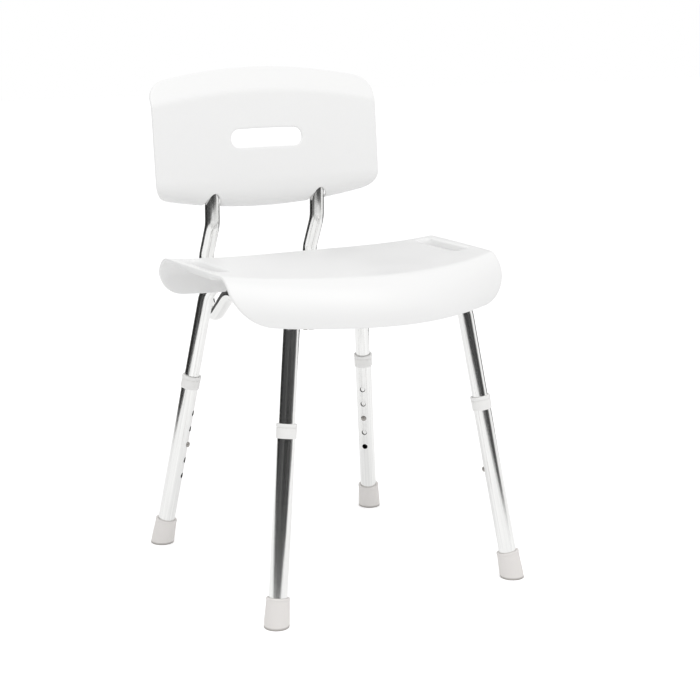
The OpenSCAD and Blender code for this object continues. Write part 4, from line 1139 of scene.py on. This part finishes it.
frame_pieces = [
    (seat, "seat_plastic", "seat_shell"), (back, "back_plastic", "back_panel"),
    *((piece, "polished_tube", name) for name, piece in tubes.items()),
    *((piece, "trim_plastic", name) for name, piece in plugs.items()),
    (cross_spacer, "trim_plastic", "cross_spacer"),
    *((piece, "trim_plastic", name) for name, piece in rail_spacers.items()),
    (frame_bolts, "steel_hardware", "cross_bolt", "rail_bolts_short", "rail_bolts_long"),
    (panel_screws, "steel_hardware", "seat_screws", "back_screws")]
for piece, slot, *names in frame_pieces:
    finish_piece(piece, "frame", slot, *names)
for key in LEGS:
    for word, pieces, slot in (("leg_tube", leg_tubes, "polished_tube"), ("collar", collars, "trim_plastic"),
                               ("foot", feet, "rubber_foot")):
        finish_piece(pieces[key], f"lower_leg_{key}", slot, f"{word}_{key}")
    finish_piece(buttons[key], f"button_{key}", "steel_hardware", f"snap_button_{key}")

for name in ["cross_nut", "rivet_nuts", *(f"button_spring_{key}" for key in LEGS)]:
    nodes[name].data.materials.clear()
    nodes[name].data.materials.append(steel)

# %% [markdown]
# ## Floor, light and camera
# The chair stands in a plain white room. The camera, the mirror-like tubes and any clear part see
# the floor and the world as white, while the lamp stays at a level that lights the white plastic
# without washing it out. The floor still takes a soft shadow. Polished metal shows only what
# surrounds it, so grey cards stand in a wide ring round the chair, with two gaps in it. They are
# seen in reflections alone and draw the dark stripes that make a tube look like metal.

# %% Light that only some rays see
def bare_tree(owner):
    owner.use_nodes = True
    owner.node_tree.nodes.clear()
    return owner.node_tree


def is_seen(tree, *kinds):
    """1 for the named kinds of ray, 0 for the others."""
    path = node_of(tree, "ShaderNodeLightPath")
    result = path.outputs[f"Is {kinds[0]} Ray"]
    for kind in kinds[1:]:
        either = node_of(tree, "ShaderNodeMath", operation="MAXIMUM")
        tree.links.new(result, either.inputs[0])
        wire(tree, (path, f"Is {kind} Ray", either, 1))
        result = either.outputs[0]
    return result


def pick(tree, kind, levels, *rays, **entries):
    """The first level for most rays and the second for the named ones."""
    mix = node_of(tree, "ShaderNodeMixShader")
    tree.links.new(is_seen(tree, *rays), mix.inputs[0])
    for entry, level in enumerate(levels, 1):
        wire(tree, (node_of(tree, kind, {"Strength": level, **entries}), 0, mix, entry))
    return mix

# %% White room
ROOM_LIGHT, FLOOR_TO_CAMERA, FLOOR_TO_METAL = 0.83, 0.36, 0.12
FLOOR_GREY, FLOOR_HALF = 0.93, 9
world = bpy.data.worlds.new("White_room")
bpy.context.scene.world = world
tree = bare_tree(world)
seen = pick(tree, "ShaderNodeBackground", (ROOM_LIGHT, 1.0), "Camera", "Glossy", "Transmission",
            Color=(1, 1, 1, 1))
wire(tree, (seen, 0, node_of(tree, "ShaderNodeOutputWorld"), "Surface"))

floor_paint = bpy.data.materials.new("floor_paint")
tree = bare_tree(floor_paint)
last = node_of(tree, "ShaderNodeBsdfDiffuse", {"Color": (FLOOR_GREY, FLOOR_GREY, FLOOR_GREY, 1)})
for strength, *rays in ((FLOOR_TO_CAMERA, "Camera", "Transmission"), (FLOOR_TO_METAL, "Glossy")):
    both = node_of(tree, "ShaderNodeAddShader")
    wire(tree, (last, 0, both, 0), (pick(tree, "ShaderNodeEmission", (0.0, strength), *rays), 0, both, 1))
    last = both
wire(tree, (last, 0, node_of(tree, "ShaderNodeOutputMaterial"), "Surface"))

floor_mesh = bpy.data.meshes.new("Floor")
corners = [(x * FLOOR_HALF, y * FLOOR_HALF, 0) for x, y in ((-1, -1), (1, -1), (1, 1), (-1, 1))]
floor_mesh.from_pydata(corners, [], [(0, 1, 2, 3)])
floor_mesh.materials.append(floor_paint)
floor = show("Floor", floor_mesh)

# %% Grey surroundings for the metal
CARD_STEPS = 72


def surroundings(name, corners, start, end, grey):
    """A profile (distance, height) swept round the chair; only glossy rays see it."""
    turn = np.radians(np.linspace(start, end, CARD_STEPS + 1))
    points = [(r * math.cos(a), r * math.sin(a), z) for r, z in corners for a in turn]
    up = CARD_STEPS + 1
    faces = [(k, k + 1, k + 1 + up, k + up) for row in range(len(corners) - 1)
             for k in range(row * up, row * up + CARD_STEPS)]
    mesh = bpy.data.meshes.new(name)
    mesh.from_pydata(points, [], faces)
    paint = bpy.data.materials.new(name)
    tree = bare_tree(paint)
    dim = node_of(tree, "ShaderNodeEmission", {"Color": (grey, grey, grey, 1)})
    wire(tree, (dim, 0, node_of(tree, "ShaderNodeOutputMaterial"), "Surface"))
    mesh.materials.append(paint)
    card = show(name, mesh)
    card.visible_camera = card.visible_diffuse = card.visible_transmission = card.visible_shadow = False
    return card


ROOM_PROFILE = [(1.5, 0.002), (4.0, 0.002), (4.0, 1.7)]
# Each card runs between two directions in degrees, with 270 in front, and has its own grey.
GREYS = [(92, 116, 0.10), (116, 140, 0.02), (140, 162, 0.03), (162, 186, 0.07), (186, 204, 0.055),
         (204, 222, 0.085), (222, 262, 0.04), (262, 282, 0.075), (282, 300, 0.055),
         (300, 312, 0.13), (312, 320, 0.2), (362, 390, 0.09), (390, 416, 0.05), (416, 424, 0.15)]
cards = [surroundings(f"Grey_room_{k}", ROOM_PROFILE, *card) for k, card in enumerate(GREYS)]
print(len(cards), "grey cards stand round the chair")

# %% Lamp and camera
def aim(thing, place, target, roll=0.0):
    ahead = (Vector(target) - Vector(place)).normalized()
    right = ahead.cross(Vector((0, 0, 1))).normalized()
    above = right.cross(ahead)
    right, above = (right * math.cos(roll) + above * math.sin(roll),
                    above * math.cos(roll) - right * math.sin(roll))
    turn = Matrix((right, above, -ahead)).transposed().to_4x4()
    thing.matrix_world = Matrix.Translation(place) @ turn


lamp = show("Key_light", bpy.data.lights.new("Key_light", "AREA"))
lamp.data.shape = "RECTANGLE"
lamp.data.size, lamp.data.size_y, lamp.data.energy = 2.6, 2.2, 24.5
aim(lamp, (-0.3, -1.5, 3.1), (0, 0, 0.45))

camera = show("Camera", bpy.data.cameras.new("Camera"))
camera.data.lens, camera.data.sensor_width = 85.3, 36
aim(camera, (-1.1512, -2.0317, 0.8386), (0.0258, -0.0236, 0.3159), math.radians(0.267))
bpy.context.scene.camera = camera
bpy.context.scene.view_settings.view_transform = "Standard"

# %% [markdown]
# ## Finish
# The last line brings the scene up to date.

# %% Finish
bpy.context.view_layer.update()
